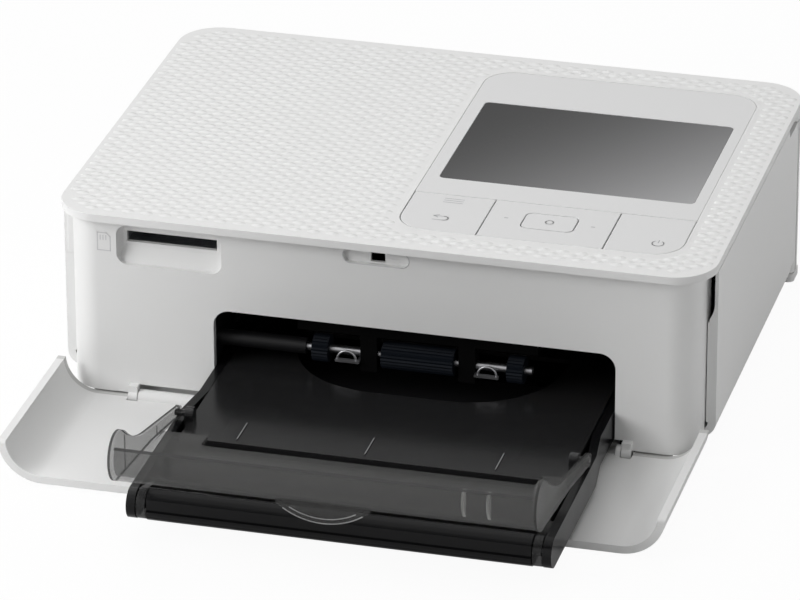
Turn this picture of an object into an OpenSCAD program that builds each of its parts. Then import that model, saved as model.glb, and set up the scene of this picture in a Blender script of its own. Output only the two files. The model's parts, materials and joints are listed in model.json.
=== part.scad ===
// Compact photo printer: paper cassette in place, outer lid raised, front cover folded down.
// X runs across the front, Y towards the back, Z up. The origin is on the desk below the
// middle of the whole, from the raised lid's front to the body's back. Sizes are in millimetres.

/* [Body] */
// Width of the body
body_w = 182.2; // [178:0.1:200]
// Depth of the body from the front rim to the back
body_d = 133; // [131:0.1:150]
// Height of the body above the desk
body_h = 57.6; // [57.6:0.1:66]
// Plan radius of the body's corners
corner_r = 12; // [9:0.5:15]
// Wall of the outer shells
shell_t = 2.2; // [1.8:0.1:2.4]
// Height of the top cover's plain rim
rim_h = 2.6; // [2.4:0.1:3]
// Depth of the front shell behind the rim, filled by the closed front cover
face_back = 3; // [2.9:0.1:3.6]
// Step of the front shell's flanks inside the side panels
flank_step = 3; // [2.8:0.1:3.6]
// Front edge of the side panels, behind the rim
flank_y = 12; // [12:0.1:16]
// Lower edge of the front shell above the desk
shell_z = 3.1; // [2.8:0.1:3.4]
// Lowest point of the rounded side panels above the desk
side_z = 5.2; // [4.6:0.1:6]
// Radius of the side panels' lower edge
side_r = 4.5; // [3:0.1:6]
// Width of the plain border round the textured field
border_w = 1.3; // [1:0.1:4]
// Depth of the textured field below the border
field_step = 0.4; // [0.2:0.1:0.6]

/* [Base] */
// Underside of the base above the desk
base_z = 1.6; // [1.4:0.1:1.8]
// Thickness of the base's floor
base_t = 1.8; // [1.6:0.1:2.4]
// Inset of the base from the body's outline
base_in = 5.6; // [5.2:0.1:8]
// Radius of a rubber foot
foot_r = 6; // [4:0.1:6.6]
// Distance of the feet from the body's sides
foot_in = 20; // [16:0.5:30]
// Distance of the feet from the body's front and back
foot_end = 14; // [13.5:0.1:14.5]

/* [Front opening] */
// Middle of the paper path, right of the body's middle
path_x = 9.5; // [8:0.1:11]
// Gap beside the cassette in its opening
mouth_gap = 0.4; // [0.3:0.05:1]
// Top of the cassette opening above the desk
mouth_z = 31.1; // [30:0.1:31.4]
// Radius of the opening's upper corners
mouth_r = 4.5; // [2:0.1:8]

/* [Card slot] */
// Middle of the card slot, left of the body's middle
card_x = 58.7; // [56:0.05:62]
// Width of the card slot
card_w = 25.4; // [24.5:0.1:27]
// Height of the card slot
card_h = 3.2; // [2.6:0.1:3.4]
// Middle of the card slot below the top of the body
card_down = 8.7; // [8.5:0.1:9.5]
// Width of the recess round the card slot
recess_w = 29.6; // [28:0.1:34]
// Height of the recess round the card slot
recess_h = 11.6; // [10:0.1:12]
// Depth of the recess at the slot
recess_d = 3.2; // [2.4:0.1:4]

/* [Front cover] */
// Thickness of the front cover
cover_t = 2.2; // [1.8:0.1:2.3]
// Hinge axis above the desk
cover_pin_z = 2.6; // [2.5:0.1:2.8]
// Hinge axis behind the rim
cover_pin_y = 2.2; // [2.1:0.1:2.3]
// Length of the cover's right knuckle and the gap beside it
knuckle_l = 2.2; // [2:0.1:4]
// Width of the shell's hinge lugs
lug_w = 2.6; // [2:0.1:4]
// Radius of the hinge pins
cover_pin_r = 1; // [0.8:0.05:1.1]
// Reach of the cover's returns round the body's corners
return_y = 11.4; // [10:0.1:11.6]
// Height of the cover's catch hook
hook_h = 1.6; // [1:0.1:1.7]

/* [Side cover] */
// Hinge barrel radius
barrel_r = 1.8; // [1.5:0.05:1.9]
// Hinge pin radius
side_pin_r = 0.8; // [0.6:0.05:1]
// Hinge axis ahead of the body's back
side_pin_back = 14.2; // [14:0.1:16]
// Height of the finger scoops at the side panels' front edges, below the rim
scoop_h = 15.6; // [10:0.1:20]

/* [Control panel] */
// Left edge of the panel, right of the body's middle
panel_x = 1.6; // [1:0.1:4]
// Width of the panel
panel_w = 78.4; // [78:0.1:82]
// Front edge of the panel behind the rim
panel_y = 12; // [11:0.1:13]
// Depth of the panel
panel_d = 109; // [104:0.5:112]
// Thickness of the panel
panel_t = 1.6; // [1.4:0.1:1.8]
// Corner radius of the panel
panel_r = 8.5; // [5:0.1:10]
// Depth of the key row
key_d = 23.7; // [22:0.1:26]
// Width of the menu key
menu_w = 22.8; // [20:0.1:24]
// Width of the power key
power_w = 20.8; // [18:0.1:22]
// Width of the confirm key
ok_w = 14.2; // [12:0.1:18]
// Depth of the confirm key
ok_d = 9.5; // [8:0.1:12]
// Gap round the keys
key_gap = 0.3; // [0.15:0.05:0.4]
// Travel of a key
key_travel = 0.5; // [0.3:0.05:0.55]
// Width of the display window
lcd_w = 71.2; // [68:0.1:72]
// Depth of the display window
lcd_d = 53; // [50:0.1:55]
// Front edge of the window behind the panel's front edge
lcd_y = 34; // [32:0.1:36]

/* [Paper cassette] */
// Width of the cassette inside the printer
cas_w = 111; // [108:0.1:114]
// Step of the front grip outside the part in the printer
grip_step = 1.6; // [1:0.1:2]
// Underside of the cassette above the desk
cas_z = 5.6; // [5.4:0.1:5.7]
// Height of the cassette's side walls
cas_h = 8.6; // [8.2:0.1:8.8]
// Reach of the cassette in front of the rim
cas_front = 75; // [70:0.5:80]
// Reach of the cassette behind the rim
cas_back = 84; // [80:0.5:85]
// Side wall thickness
cas_wall = 2.4; // [2:0.1:2.6]
// Floor thickness
cas_floor = 1.5; // [1.2:0.1:1.8]
// Plate thickness of the inner lid
lid_t = 1.3; // [1:0.1:1.5]
// Width of the pick-up cut-out in the inner lid
cut_w = 74; // [66:0.5:80]
// Front edge of the pick-up cut-out ahead of the rim
cut_y = 2.4; // [0:0.1:6]
// Corner radius of the pick-up cut-out
cut_r = 26; // [12:0.5:30]

/* [Outer lid] */
// Hinge axis ahead of the rim
tray_pin_y = 30.5; // [28:0.1:34]
// Wall thickness of the outer lid
tray_t = 1.3; // [1:0.1:1.6]
// Front reach of the outer lid ahead of the rim
tray_front = 90.4; // [88:0.1:94]
// Top of the outer lid's front corners above the desk
tray_top = 36.6; // [35:0.1:37.5]
// Length of the outer lid's floor
tray_floor = 33.4; // [30:0.1:35]
// Depth of the notch in the floor's rear edge
tray_notch = 7.4; // [4:0.1:10]

/* [Pick-up rollers] */
// Radius of the pick-up rollers
pick_r = 3.8; // [3.2:0.1:4.2]
// Width of the middle roller
pick_w = 20.1; // [14:0.1:22]
// Width of an outer roller
pick_side_w = 4.5; // [3:0.1:6]
// Distance of the outer rollers' middles from the path's middle
pick_side_x = 27.2; // [25:0.1:29]
// Pick-up shaft radius
pick_shaft_r = 1.2; // [0.8:0.05:1.5]
// Pick-up shaft behind the rim
pick_y = 10; // [9.6:0.1:11]
// Pick-up shaft above the desk
pick_z = 20; // [19.6:0.1:21]

/* [Print path] */
// Chassis plate thickness
plate_t = 1.2; // [1:0.1:1.5]
// Room between the cassette opening and a chassis plate
plate_gap = 6.4; // [6.2:0.1:7]
// Platen roller radius
platen_r = 6; // [5:0.1:6.2]
// Platen roller and print head behind the rim
head_y = 54; // [53.5:0.1:54.5]
// Length of the print line
print_w = 100; // [98:0.5:102]
// Travel of the print head
head_travel = 5.6; // [4:0.1:5.7]
// Feed roller radius
feed_r = 4; // [3.5:0.1:4.2]
// Pinch roller radius
pinch_r = 3; // [2.5:0.1:3]
// Feed roller behind the rim
feed_y = 92; // [91.5:0.1:94]
// Height of the paper path at the feed roller
nip_z = 24.2; // [23.6:0.1:24.6]
// Roller journal radius
journal_r = 2; // [1.5:0.1:2.2]

/* [Ribbon cartridge] */
// Radius of a spool housing
tube_r = 9.8; // [9:0.1:9.8]
// Distance between the spool axes
spool_pitch = 42; // [41:0.1:43]
// Radius of the hubs that drive the spools
hub_r = 2.8; // [2.5:0.1:3]
// Radius of a spool's core
core_r = 5; // [4:0.1:6]
// Wound ribbon radius on the supply spool
supply_r = 8.2; // [6:0.1:8.4]
// Wound ribbon radius on the take-up spool
take_up_r = 6.4; // [5.6:0.1:8.4]

/* [Drive] */
// Tooth module
tooth_m = 0.5; // [0.45:0.01:0.52]
// Teeth of the motor pinions
pinion_n = 12; // [10:1:14]
// Teeth of the feed roller's gear
feed_n = 42; // [40:1:43]
// Teeth of the take-up gear
ribbon_n = 36; // [34:1:37]
// Teeth of the gears that reach from the feed roller to the pick-up shaft
idler_n = 52; // [51:1:54]
// Teeth of the two small gears at the ends of that train
small_n = 16; // [14:1:16]
// Face width of the gears
gear_w = 3.5; // [2.5:0.1:3.8]
// Feed motor radius
feed_motor_r = 12; // [10:0.1:12.5]
// Ribbon motor radius
ribbon_motor_r = 9.6; // [8:0.1:9.8]
// Length of the motors
motor_l = 22; // [18:0.5:24]

/* [Rear panel] */
// Width of the rear paper slot
slot_w = 108; // [104:0.5:110]
// Height of the rear paper slot
slot_h = 6.4; // [5.6:0.1:7]
// Number of cooling slits
vent_n = 11; // [6:1:12]
// Pitch of the cooling slits
vent_pitch = 4.4; // [4:0.1:4.6]

/* [Fits] */
// Gap between pieces that move past each other
gap = 0.3; // [0.2:0.05:0.35]
// Running clearance of a pin or shaft in its bore
run = 0.04; // [0.02:0.01:0.08]

/* [Hidden] */
$fn = 64;

eps = 0.01;
half_w = body_w / 2;
rear = (body_d + tray_front) / 2;
front = rear - body_d;
mouth_w = cas_w + 2 * mouth_gap;
grip_w = cas_w + 2 * grip_step;
roof = body_h - rim_h;
floor_z = base_z + base_t;
flank_x = half_w - flank_step;
face_y = front + face_back;
shell_back = face_y + shell_t;

mouth_l = path_x - mouth_w / 2;
mouth_rt = path_x + mouth_w / 2;
cover_y = front + cover_pin_y;
// The closed cover reaches up to the rim, so the open one reaches this far forward
cover_lip = cover_y - (roof - gap - cover_pin_z);
cover_in_z = cover_pin_z;
knuckle_x = mouth_rt + knuckle_l;
lug_x = knuckle_x + 0.2;

side_axis_x = half_w - barrel_r;
side_axis_y = rear - side_pin_back;
frame_x = half_w - side_r - 2.5;

slot_z = body_h - card_down;
card_mid = -card_x;
catch_z = body_h - 5.7;
hook_y = cover_y - (catch_z - cover_pin_z);

panel_front = front + panel_y;
panel_right = panel_x + panel_w;
key_back = panel_front + key_d;
nav_x0 = panel_x + menu_w;
nav_x1 = panel_right - power_w;
ok_x = (nav_x0 + nav_x1) / 2;
ok_y = panel_front + key_d * 0.54;
key_under = body_h - panel_t + key_travel + 0.1;
board_top = roof - 0.5;
lcd_x = panel_x + 4;
lcd_front = panel_front + lcd_y;

lid_z = cas_z + cas_h + 0.3;
lift_z = cas_z + cas_floor + 0.9;
bar_r = cas_h / 2;
bar_y = front - cas_front + bar_r;
bar_z = cas_z + bar_r;
low_lid_z = lid_z - 2.2;
step_y = front - 41;
arm_x = grip_w / 2 - cas_wall - gap;
arm_w = 2.4;
tray_z = lid_z + 1.9;
tray_y = front - tray_pin_y;
tray_x = grip_w / 2 - 0.3;

left_x = path_x - mouth_w / 2 - plate_gap;
right_x = path_x + mouth_w / 2 + plate_gap;
chassis_y = face_y + recess_d + 1.4 + gap;
socket_z = slot_z - card_h / 2 - 0.9;
spool_z = socket_z - gap - hub_r;
feed_z = nip_z + feed_r + 0.1;
pinch_z = nip_z - pinch_r - 0.1;
supply_y = front + head_y - spool_pitch / 2;
take_up_y = front + head_y + spool_pitch / 2;
film_z = spool_z - tube_r + 0.9;
platen_z = film_z - 1.7 - platen_r;
head_z = film_z + 0.9 + head_travel;
head_pin_z = head_z + 6;
train_x = left_x - plate_t - 1.2;
gear_x = train_x - gear_w - 0.8;
motor_x1 = gear_x - gear_w - 1.5;
motor_x0 = max(motor_x1 - motor_l, -half_w + flank_step + shell_t + 2.1);
usb_x = left_x - plate_t - 5.6;
dc_x = usb_x - 11.5;
board_x0 = -half_w + 8;
board_x1 = left_x - 9.5;
board_w = board_x1 - board_x0;
screw_x = [left_x - plate_t - 3.75, right_x + plate_t + 3.75];
screw_y = [front + 24, rear - 24];
spool_x0 = path_x - print_w / 2 - 0.5;
spool_x1 = path_x + print_w / 2 + 0.5;
cart_x0 = spool_x0 - 2.5;
cart_x1 = frame_x - 1.6;
feed_pitch = (feed_n + pinion_n) * tooth_m / 2;
ribbon_pitch = (ribbon_n + pinion_n) * tooth_m / 2;
feed_motor_a = -10;
feed_motor_y = front + feed_y + feed_pitch * cos(feed_motor_a);
feed_motor_z = feed_z + feed_pitch * sin(feed_motor_a);

// The train from the feed roller to the pick-up shaft, in Y and Z
end_pitch = (small_n + idler_n) * tooth_m / 2;
idler_pitch = idler_n * tooth_m;
train_a = atan2(pick_z - feed_z, pick_y - feed_y);
idler_1 = [front + feed_y, feed_z] + end_pitch * [cos(train_a), sin(train_a)];
idler_3 = [front + pick_y, pick_z] - end_pitch * [cos(train_a), sin(train_a)];
half_gap = norm(idler_3 - idler_1) / 2;
idler_rise = acos(half_gap / idler_pitch);
idler_2 = idler_1 + idler_pitch * [cos(train_a - idler_rise), sin(train_a - idler_rise)];
turn_1 = mesh_turn(train_a, 0, small_n, idler_n);
turn_2 = mesh_turn(train_a - idler_rise, turn_1, idler_n, idler_n);
turn_3 = mesh_turn(train_a + idler_rise, turn_2, idler_n, idler_n);
turn_4 = mesh_turn(train_a, turn_3, idler_n, small_n);

// Turn of a gear that meshes with another, found in a direction from it
function mesh_turn(a, turn, n, mate_n) = a + 180 + 180 / mate_n + (a - turn) * n / mate_n;

white = [0.93, 0.93, 0.92];
black = [0.06, 0.06, 0.07];
smoke = [0.25, 0.26, 0.27, 0.6];
steel = [0.72, 0.73, 0.75];
rubber = [0.16, 0.2, 0.26];
board = [0.1, 0.35, 0.2];

// Rectangle with rounded corners between two points
module rounded(x0, y0, x1, y1, r) {
    translate([x0 + r, y0]) square([x1 - x0 - 2 * r, y1 - y0]);
    translate([x0, y0 + r]) square([x1 - x0, y1 - y0 - 2 * r]);
    for (x = [x0 + r, x1 - r], y = [y0 + r, y1 - r]) translate([x, y]) circle(r);
}

// Box between two corners
module block(a, b) {
    translate(a) cube(b - a);
}

// Drawn in Y and Z, then run along X from x0 to x1
module along_x(x0, x1) {
    translate([x0, 0, 0]) rotate([90, 0, 90]) linear_extrude(x1 - x0) children();
}

// Drawn in X and Z, then run along Y from y0 to y1
module along_y(y0, y1) {
    translate([0, y1, 0]) rotate([90, 0, 0]) linear_extrude(y1 - y0) children();
}

// Drawn in plan, then raised from z0 to z1
module along_z(z0, z1) {
    translate([0, 0, z0]) linear_extrude(z1 - z0) children();
}

// Round bar along X
module rod_x(r, x0, x1, y, z) {
    translate([x0, y, z]) rotate([0, 90, 0]) cylinder(r = r, h = x1 - x0);
}

// Round bar along Z
module rod_z(r, z0, z1, x, y) {
    translate([x, y, z0]) cylinder(r = r, h = z1 - z0);
}

// Copies a piece to the other side of the paper path
module both_sides() {
    children();
    translate([2 * path_x, 0, 0]) mirror([1, 0, 0]) children();
}

// Plan outline of the body, drawn in by a distance
module outline(d = 0) {
    rounded(-half_w + d, front + d, half_w - d, rear - d, corner_r - d);
}

// Wall that follows the body's outline
module outline_wall(d = 0) {
    difference() {
        outline(d);
        outline(d + shell_t);
    }
}

// Section of a side panel: a flat wall whose lower edge turns in
module side_section(s) {
    difference() {
        union() {
            translate([s * half_w - (s > 0 ? shell_t : 0), side_z + side_r])
                square([shell_t, roof - gap - side_z - side_r]);
            intersection() {
                translate([s * (half_w - side_r), side_z + side_r]) circle(side_r);
                translate([s > 0 ? half_w - side_r : -half_w, side_z]) square([side_r, side_r]);
            }
        }
        translate([s * (half_w - side_r), side_z + side_r]) circle(side_r - shell_t);
    }
}

// Spur gear, with a tooth pointing along its first axis
module gear_outline(n) {
    r = n * tooth_m / 2;
    polygon([for (i = [0:n - 1]) for (p = [
            [r - 1.25 * tooth_m, -0.34], [r, -0.21], [r + 0.85 * tooth_m, -0.09],
            [r + 0.85 * tooth_m, 0.09], [r, 0.21], [r - 1.25 * tooth_m, 0.34]
        ]) p[0] * [cos((i + p[1]) * 360 / n), sin((i + p[1]) * 360 / n)]]);
}

// Gear on an axis along X, turned by an angle so that its teeth fall between its mate's
module gear_x_axis(n, x0, y, z, turn) {
    translate([x0, y, z]) rotate([90, 0, 90]) rotate(turn) linear_extrude(gear_w) gear_outline(n);
}

// Fluted rubber tyre on an axis along X
module fluted_tyre(r, x0, x1, bore, n) {
    translate([x0, front + pick_y, pick_z]) rotate([90, 0, 90]) linear_extrude(x1 - x0)
        difference() {
            polygon([for (i = [0:2 * n - 1]) (r - 0.3 * (i % 2)) * [cos(i * 180 / n), sin(i * 180 / n)]]);
            circle(bore + 0.02);
        }
}

module base_tray() color(white) {
    difference() {
        union() {
            along_z(base_z, floor_z) rounded(-half_w + base_in, front + 6, half_w - base_in,
                rear - shell_t, corner_r - 4);
            // Upstand that the front shell and panels sit round
            along_z(floor_z - eps, floor_z + 4) difference() {
                rounded(-half_w + base_in, front + 6, half_w - base_in, rear - shell_t, corner_r - 4);
                rounded(-half_w + base_in + 1.6, front + 7.6, half_w - base_in - 1.6,
                    rear - shell_t - 1.6, corner_r - 5.6);
                translate([mouth_l - 3, front]) square([mouth_w + 6, 20]);
            }
            // Rails that carry the cassette
            for (x = [mouth_l + 8, mouth_rt - 12])
                block([x, front + 6, floor_z - eps], [x + 4, front + cas_back + 2, cas_z - gap]);
            // Pillars under the main board
            for (x = [board_x0 + 3, board_x1 - 2.5], y = [front + 18, rear - 26])
                rod_z(2.5, floor_z - eps, floor_z + 1.6, x, y);
        }
        for (x = [-half_w + foot_in, half_w - foot_in], y = [front + foot_end, rear - foot_end])
            rod_z(foot_r + 0.1, base_z - 1, base_z + 0.7, x, y);
        for (x = screw_x, y = screw_y) {
            rod_z(2.6, base_z - 1, base_z + 1, x, y);
            rod_z(1.3, base_z, floor_z + 1, x, y);
        }
        // The inlets pass the rear upstand
        block([dc_x - 7, rear - 6, floor_z], [usb_x + 5, rear, floor_z + 9]);
    }
}

module rubber_feet() color([0.2, 0.2, 0.2]) {
    for (x = [-half_w + foot_in, half_w - foot_in], y = [front + foot_end, rear - foot_end])
        rod_z(foot_r, 0, base_z + 0.7, x, y);
}

module front_shell() color(white) {
    difference() {
        union() {
            along_z(shell_z, roof) intersection() {
                difference() {
                    rounded(-flank_x, face_y, flank_x, rear, corner_r - flank_step);
                    rounded(-flank_x + shell_t, shell_back, flank_x - shell_t, rear,
                        corner_r - flank_step - shell_t);
                }
                translate([-half_w, front]) square([body_w, flank_y + 5]);
            }
            // Pocket behind the card recess
            block([card_mid - recess_w / 2 - 1.4, shell_back - eps, slot_z - recess_h / 2 - 2.6],
                [card_mid + recess_w / 2 + 1.4, face_y + recess_d + 1.4, roof]);
            // Hinge lugs
            for (s = [-1, 1]) {
                x = s > 0 ? lug_x : -lug_x - lug_w;
                rod_x(cover_pin_z - 0.3, x, x + lug_w, cover_y, cover_pin_z);
                block([x, cover_y - 1.4, cover_pin_z], [x + lug_w, shell_back, 6.2]);
            }
        }
        // Cassette opening, open below
        along_y(front, front + 20) rounded(mouth_l, -20, mouth_rt, mouth_z, mouth_r);
        // Room for the cover's hinge bar
        block([-lug_x, front, 0], [lug_x, shell_back + 1, 5.95]);
        // Recess round the card slot, deep at the slot and running out below it
        intersection() {
            along_y(front, front + 12) rounded(card_mid - recess_w / 2, slot_z - recess_h / 2 - 1.3,
                card_mid + recess_w / 2, slot_z + recess_h / 2 - 1.3, 3);
            along_x(card_mid - recess_w, card_mid + recess_w) polygon([
                [front, roof], [face_y + recess_d, roof], [face_y + recess_d, slot_z - 3],
                [face_y + 0.9, slot_z - recess_h / 2 - 2], [front, slot_z - recess_h / 2 - 2]
            ]);
            along_z(0, roof) polygon([for (s = [-1, 1], p = s < 0 ? [[2.2, -3], [-1.6, recess_d + 1]] :
                [[-1.6, recess_d + 1], [2.2, -3]]) [card_mid + s * (recess_w / 2 + p[0]), face_y + p[1]]]);
        }
        block([card_mid - card_w / 2, front, slot_z - card_h / 2],
            [card_mid + card_w / 2, front + 14, slot_z + card_h / 2]);
        // Catch recess with the hole for the cover's hook
        along_y(front, face_y + 1.2) rounded(-9.8, catch_z - 2, 8.4, catch_z + 2, 2 - eps);
        block([-2.4, front, catch_z - 1.6], [1.6, front + 10, catch_z + 1.6]);
        for (s = [-1, 1]) rod_x(cover_pin_r + 0.02, s * lug_x - 7, s * lug_x + 9, cover_y, cover_pin_z);
        // Room for the side panels' turned-in lower edges
        for (s = [-1, 1]) translate([s * flank_x - 4, front + flank_y - gap, 0]) cube([8, 10,
            side_z + side_r + gap]);
    }
}

// Edge that closes a side panel against the front shell's flank
module side_flange(s) {
    y = front + flank_y;
    x = s * (half_w - shell_t);
    block([min(x + eps * s, s * (flank_x + gap)), y, side_z + side_r], [max(x + eps * s,
        s * (flank_x + gap)), y + 3,
        roof - scoop_h]);
}

// Finger scoop behind a side panel's front edge, under the rim
module side_scoop(s) {
    z = roof - scoop_h + 5.5;
    y = front + flank_y;
    along_y(y - 1, y + 8) {
        intersection() {
            translate([s * (half_w - 9.2), z]) circle(8.3);
            translate([s > 0 ? flank_x - 1 : -half_w, z - 6]) square([half_w - flank_x + 1, 6.1]);
        }
        translate([s > 0 ? flank_x - 1 : -half_w + 0.9, z]) square([half_w - flank_x + 0.1, 20]);
    }
}

module left_side_panel() color(white) {
    difference() {
        union() {
            along_y(front + flank_y, side_axis_y + 1.7) side_section(-1);
            side_flange(-1);
        }
        side_scoop(-1);
    }
    // Tongue behind the front shell's flank
    block([-half_w + shell_t - eps, front + flank_y + 6, side_z + side_r],
        [-half_w + shell_t + 0.6, front + flank_y + 12, roof - gap]);
}

module rear_panel() color(white) {
    path_mid = nip_z;
    vent_x = path_x - vent_n * vent_pitch / 2;
    difference() {
        union() {
            along_z(shell_z, roof) intersection() {
                outline_wall();
                translate([-half_w, side_axis_y + barrel_r + 0.2]) square([body_w, 40]);
            }
            // Hinge tabs for the side cover, above and below its barrel
            for (z = [[shell_z, side_z + 0.4], [roof - gap - 1.9, roof]])
                along_z(z[0], z[1]) difference() {
                    union() {
                        translate([side_axis_x, side_axis_y]) circle(barrel_r);
                        translate([side_axis_x - barrel_r, side_axis_y]) square([2 * barrel_r, 5]);
                    }
                    translate([side_axis_x, side_axis_y]) circle(side_pin_r + 0.02);
                }
        }
        // Rear paper slot, where the sheet runs out between passes
        along_y(rear - 10, rear + 5) rounded(path_x - slot_w / 2, path_mid - slot_h / 2,
            path_x + slot_w / 2, path_mid + slot_h / 2, 1.5);
        // Cooling slits
        for (i = [0:vent_n - 1])
            along_y(rear - 10, rear + 5) rounded(vent_x + i * vent_pitch, roof - 17,
                vent_x + i * vent_pitch + 2, roof - 6, 0.99);
        // Inlets
        along_y(rear - 10, rear + 5) translate([dc_x, floor_z + 7.6]) circle(4.2);
        along_y(rear - 10, rear + 5) rounded(usb_x - 5, floor_z + 4.4, usb_x + 5, floor_z + 8.4, 1.9);
    }
}

module top_cover() color(white) {
    difference() {
        along_z(roof, body_h) outline();
        // Textured field
        along_z(body_h - field_step, body_h + 1) difference() {
            outline(border_w);
            rounded(panel_x - 0.8, panel_front - 0.8, panel_right + 0.8,
                panel_front + panel_d + 0.8, panel_r + 0.8);
        }
        // Seat of the control panel, and the opening below it
        along_z(body_h - panel_t, body_h + 1) rounded(panel_x - 0.1, panel_front - 0.1,
            panel_right + 0.1, panel_front + panel_d + 0.1, panel_r + 0.1);
        along_z(roof - 1, body_h) rounded(panel_x + 1.6, panel_front + 1.6, panel_right - 1.6,
            key_back + 1, panel_r - 1.6);
        along_z(roof - 1, body_h) rounded(lcd_x - 1, lcd_front - 1, lcd_x + lcd_w + 1,
            lcd_front + lcd_d + 1, 2);
    }
    // Locating ribs inside the shells
    difference() {
        along_z(roof - 2.4, roof + eps) difference() {
            outline(flank_step + shell_t + 0.4);
            outline(flank_step + shell_t + 1.8);
            translate([card_mid - recess_w / 2 - 2, front]) square([recess_w + 4, 14]);
            translate([side_axis_x - 8, side_axis_y - 6]) square([20, 14]);
            translate([-12, front]) square([24, 14]);
        }
        block([frame_x - 0.3, front, 0], [half_w, rear, roof]);
    }
}

module right_side_frame() color(white) {
    bay_y0 = supply_y - tube_r - 1.4;
    bay_y1 = take_up_y + tube_r + 1.4;
    along_x(frame_x, frame_x + 2) difference() {
        translate([front + flank_y + 6, floor_z + 4.3])
            square([side_axis_y - 5 - front - flank_y - 6, roof - floor_z - 4.3]);
        translate([bay_y0, spool_z - tube_r - 1.4]) square([bay_y1 - bay_y0, 2 * tube_r + 2.8]);
    }
    // Feet that tie the wall to the right chassis plate
    for (y = [front + 34, take_up_y + 20])
        block([right_x + plate_t, y, floor_z + 5], [frame_x + eps, y + 4, floor_z + 16]);
}

module side_cover() color(white) {
    y0 = front + flank_y;
    difference() {
        union() {
            difference() {
                along_y(y0, side_axis_y) side_section(1);
                // Room at the hinge for the turned-in lower edge
                block([half_w - 20, side_axis_y - 5, 0], [half_w + 5, rear, side_z + side_r]);
            }
            side_flange(1);
            rod_z(barrel_r, side_z + 0.7, roof - gap - 2.2, side_axis_x, side_axis_y);
            // Stiffening ribs on the inside
            for (z = [side_z + side_r + 4, roof - 12])
                block([half_w - shell_t - 0.5, y0 + 10, z], [half_w - shell_t + eps, side_axis_y - 6,
                    z + 1.5]);
        }
        side_scoop(1);
        block([half_w - 6, side_axis_y - 12, roof - gap - 2.2], [half_w + 1, rear, roof]);
        rod_z(side_pin_r + run, side_z - 1, side_z + 8, side_axis_x, side_axis_y);
        rod_z(side_pin_r + run, roof - gap - 10, roof, side_axis_x, side_axis_y);
    }
}

module side_cover_pins() color(steel) {
    rod_z(side_pin_r, shell_z, side_z + 7.6, side_axis_x, side_axis_y);
    rod_z(side_pin_r, roof - gap - 9.6, roof - 0.1, side_axis_x, side_axis_y);
}

module front_cover() color(white) {
    plate_end = cover_y - (shell_z + 0.3 - cover_pin_z);
    difference() {
        union() {
            along_y(cover_lip, plate_end) intersection() {
                difference() {
                    rounded(-half_w, cover_pin_z - cover_pin_y, half_w, 60, corner_r);
                    rounded(-half_w + cover_t, cover_in_z, half_w - cover_t, 60, corner_r - cover_t);
                }
                translate([-half_w, 0]) square([body_w, cover_pin_z - cover_pin_y + return_y]);
            }
            // Hinge bars
            rod_x(cover_pin_y, -knuckle_x, mouth_l - 0.8, cover_y, cover_pin_z);
            rod_x(cover_pin_y, mouth_rt + 0.8, knuckle_x, cover_y, cover_pin_z);
            // Hook for the catch
            block([-2, hook_y - 1.2, cover_in_z - eps], [1.2, hook_y + 1.2, cover_in_z + hook_h]);
        }
        for (s = [-1, 1]) rod_x(cover_pin_r + run, s * knuckle_x - 3, s * knuckle_x + 3, cover_y,
            cover_pin_z);
        // Room for the shell's hinge lugs
        for (x = [-lug_x - lug_w - gap, knuckle_x])
            block([x, cover_y - cover_pin_z - gap, -1], [x + lug_w + gap + lug_x - knuckle_x,
                plate_end + 1, cover_in_z + 1]);
    }
}

module front_cover_pins() color(steel) {
    for (s = [-1, 1]) rod_x(cover_pin_r, s > 0 ? knuckle_x - 1.2 : -lug_x - lug_w,
        s > 0 ? lug_x + lug_w : 1.2 - knuckle_x, cover_y, cover_pin_z);
}

module control_panel() color([0.95, 0.95, 0.95]) {
    along_z(body_h - panel_t, body_h) difference() {
        rounded(panel_x, panel_front, panel_right, panel_front + panel_d, panel_r);
        translate([panel_x - 1, panel_front - 1]) square([panel_w + 2, key_d + 1]);
        rounded(lcd_x - 0.05, lcd_front - 0.05, lcd_x + lcd_w + 0.05, lcd_front + lcd_d + 0.05, 1.5);
    }
}

// One plate of the key row, cut from the panel's own outline
module key_plate(x0, x1) {
    along_z(key_under, body_h) intersection() {
        rounded(panel_x + 0.15, panel_front + 0.15, panel_right - 0.15, panel_front + panel_d, panel_r);
        translate([x0, panel_front]) square([x1 - x0, key_d - 0.15]);
    }
}

module key_stem(x, y) {
    rod_z(1.6, board_top + 0.8 + key_travel + 0.1, key_under + 0.1, x, y);
}

module menu_key() color([0.95, 0.95, 0.95]) {
    key_plate(panel_x, nav_x0 - key_gap / 2);
    key_stem(panel_x + menu_w / 2, ok_y);
}

module navigation_key() color([0.95, 0.95, 0.95]) {
    difference() {
        key_plate(nav_x0 + key_gap / 2, nav_x1 - key_gap / 2);
        along_z(roof, body_h + 1) rounded(ok_x - ok_w / 2 - key_gap, ok_y - ok_d / 2 - key_gap,
            ok_x + ok_w / 2 + key_gap, ok_y + ok_d / 2 + key_gap, 2.2);
    }
    for (s = [-1, 1]) key_stem(ok_x + s * 12, ok_y);
}

module ok_key() color([0.95, 0.95, 0.95]) {
    along_z(key_under, body_h) rounded(ok_x - ok_w / 2, ok_y - ok_d / 2,
        ok_x + ok_w / 2, ok_y + ok_d / 2, 2);
    key_stem(ok_x, ok_y);
}

module power_key() color([0.95, 0.95, 0.95]) {
    key_plate(nav_x1 + key_gap / 2, panel_right);
    key_stem(panel_right - power_w / 2, ok_y);
}

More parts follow.
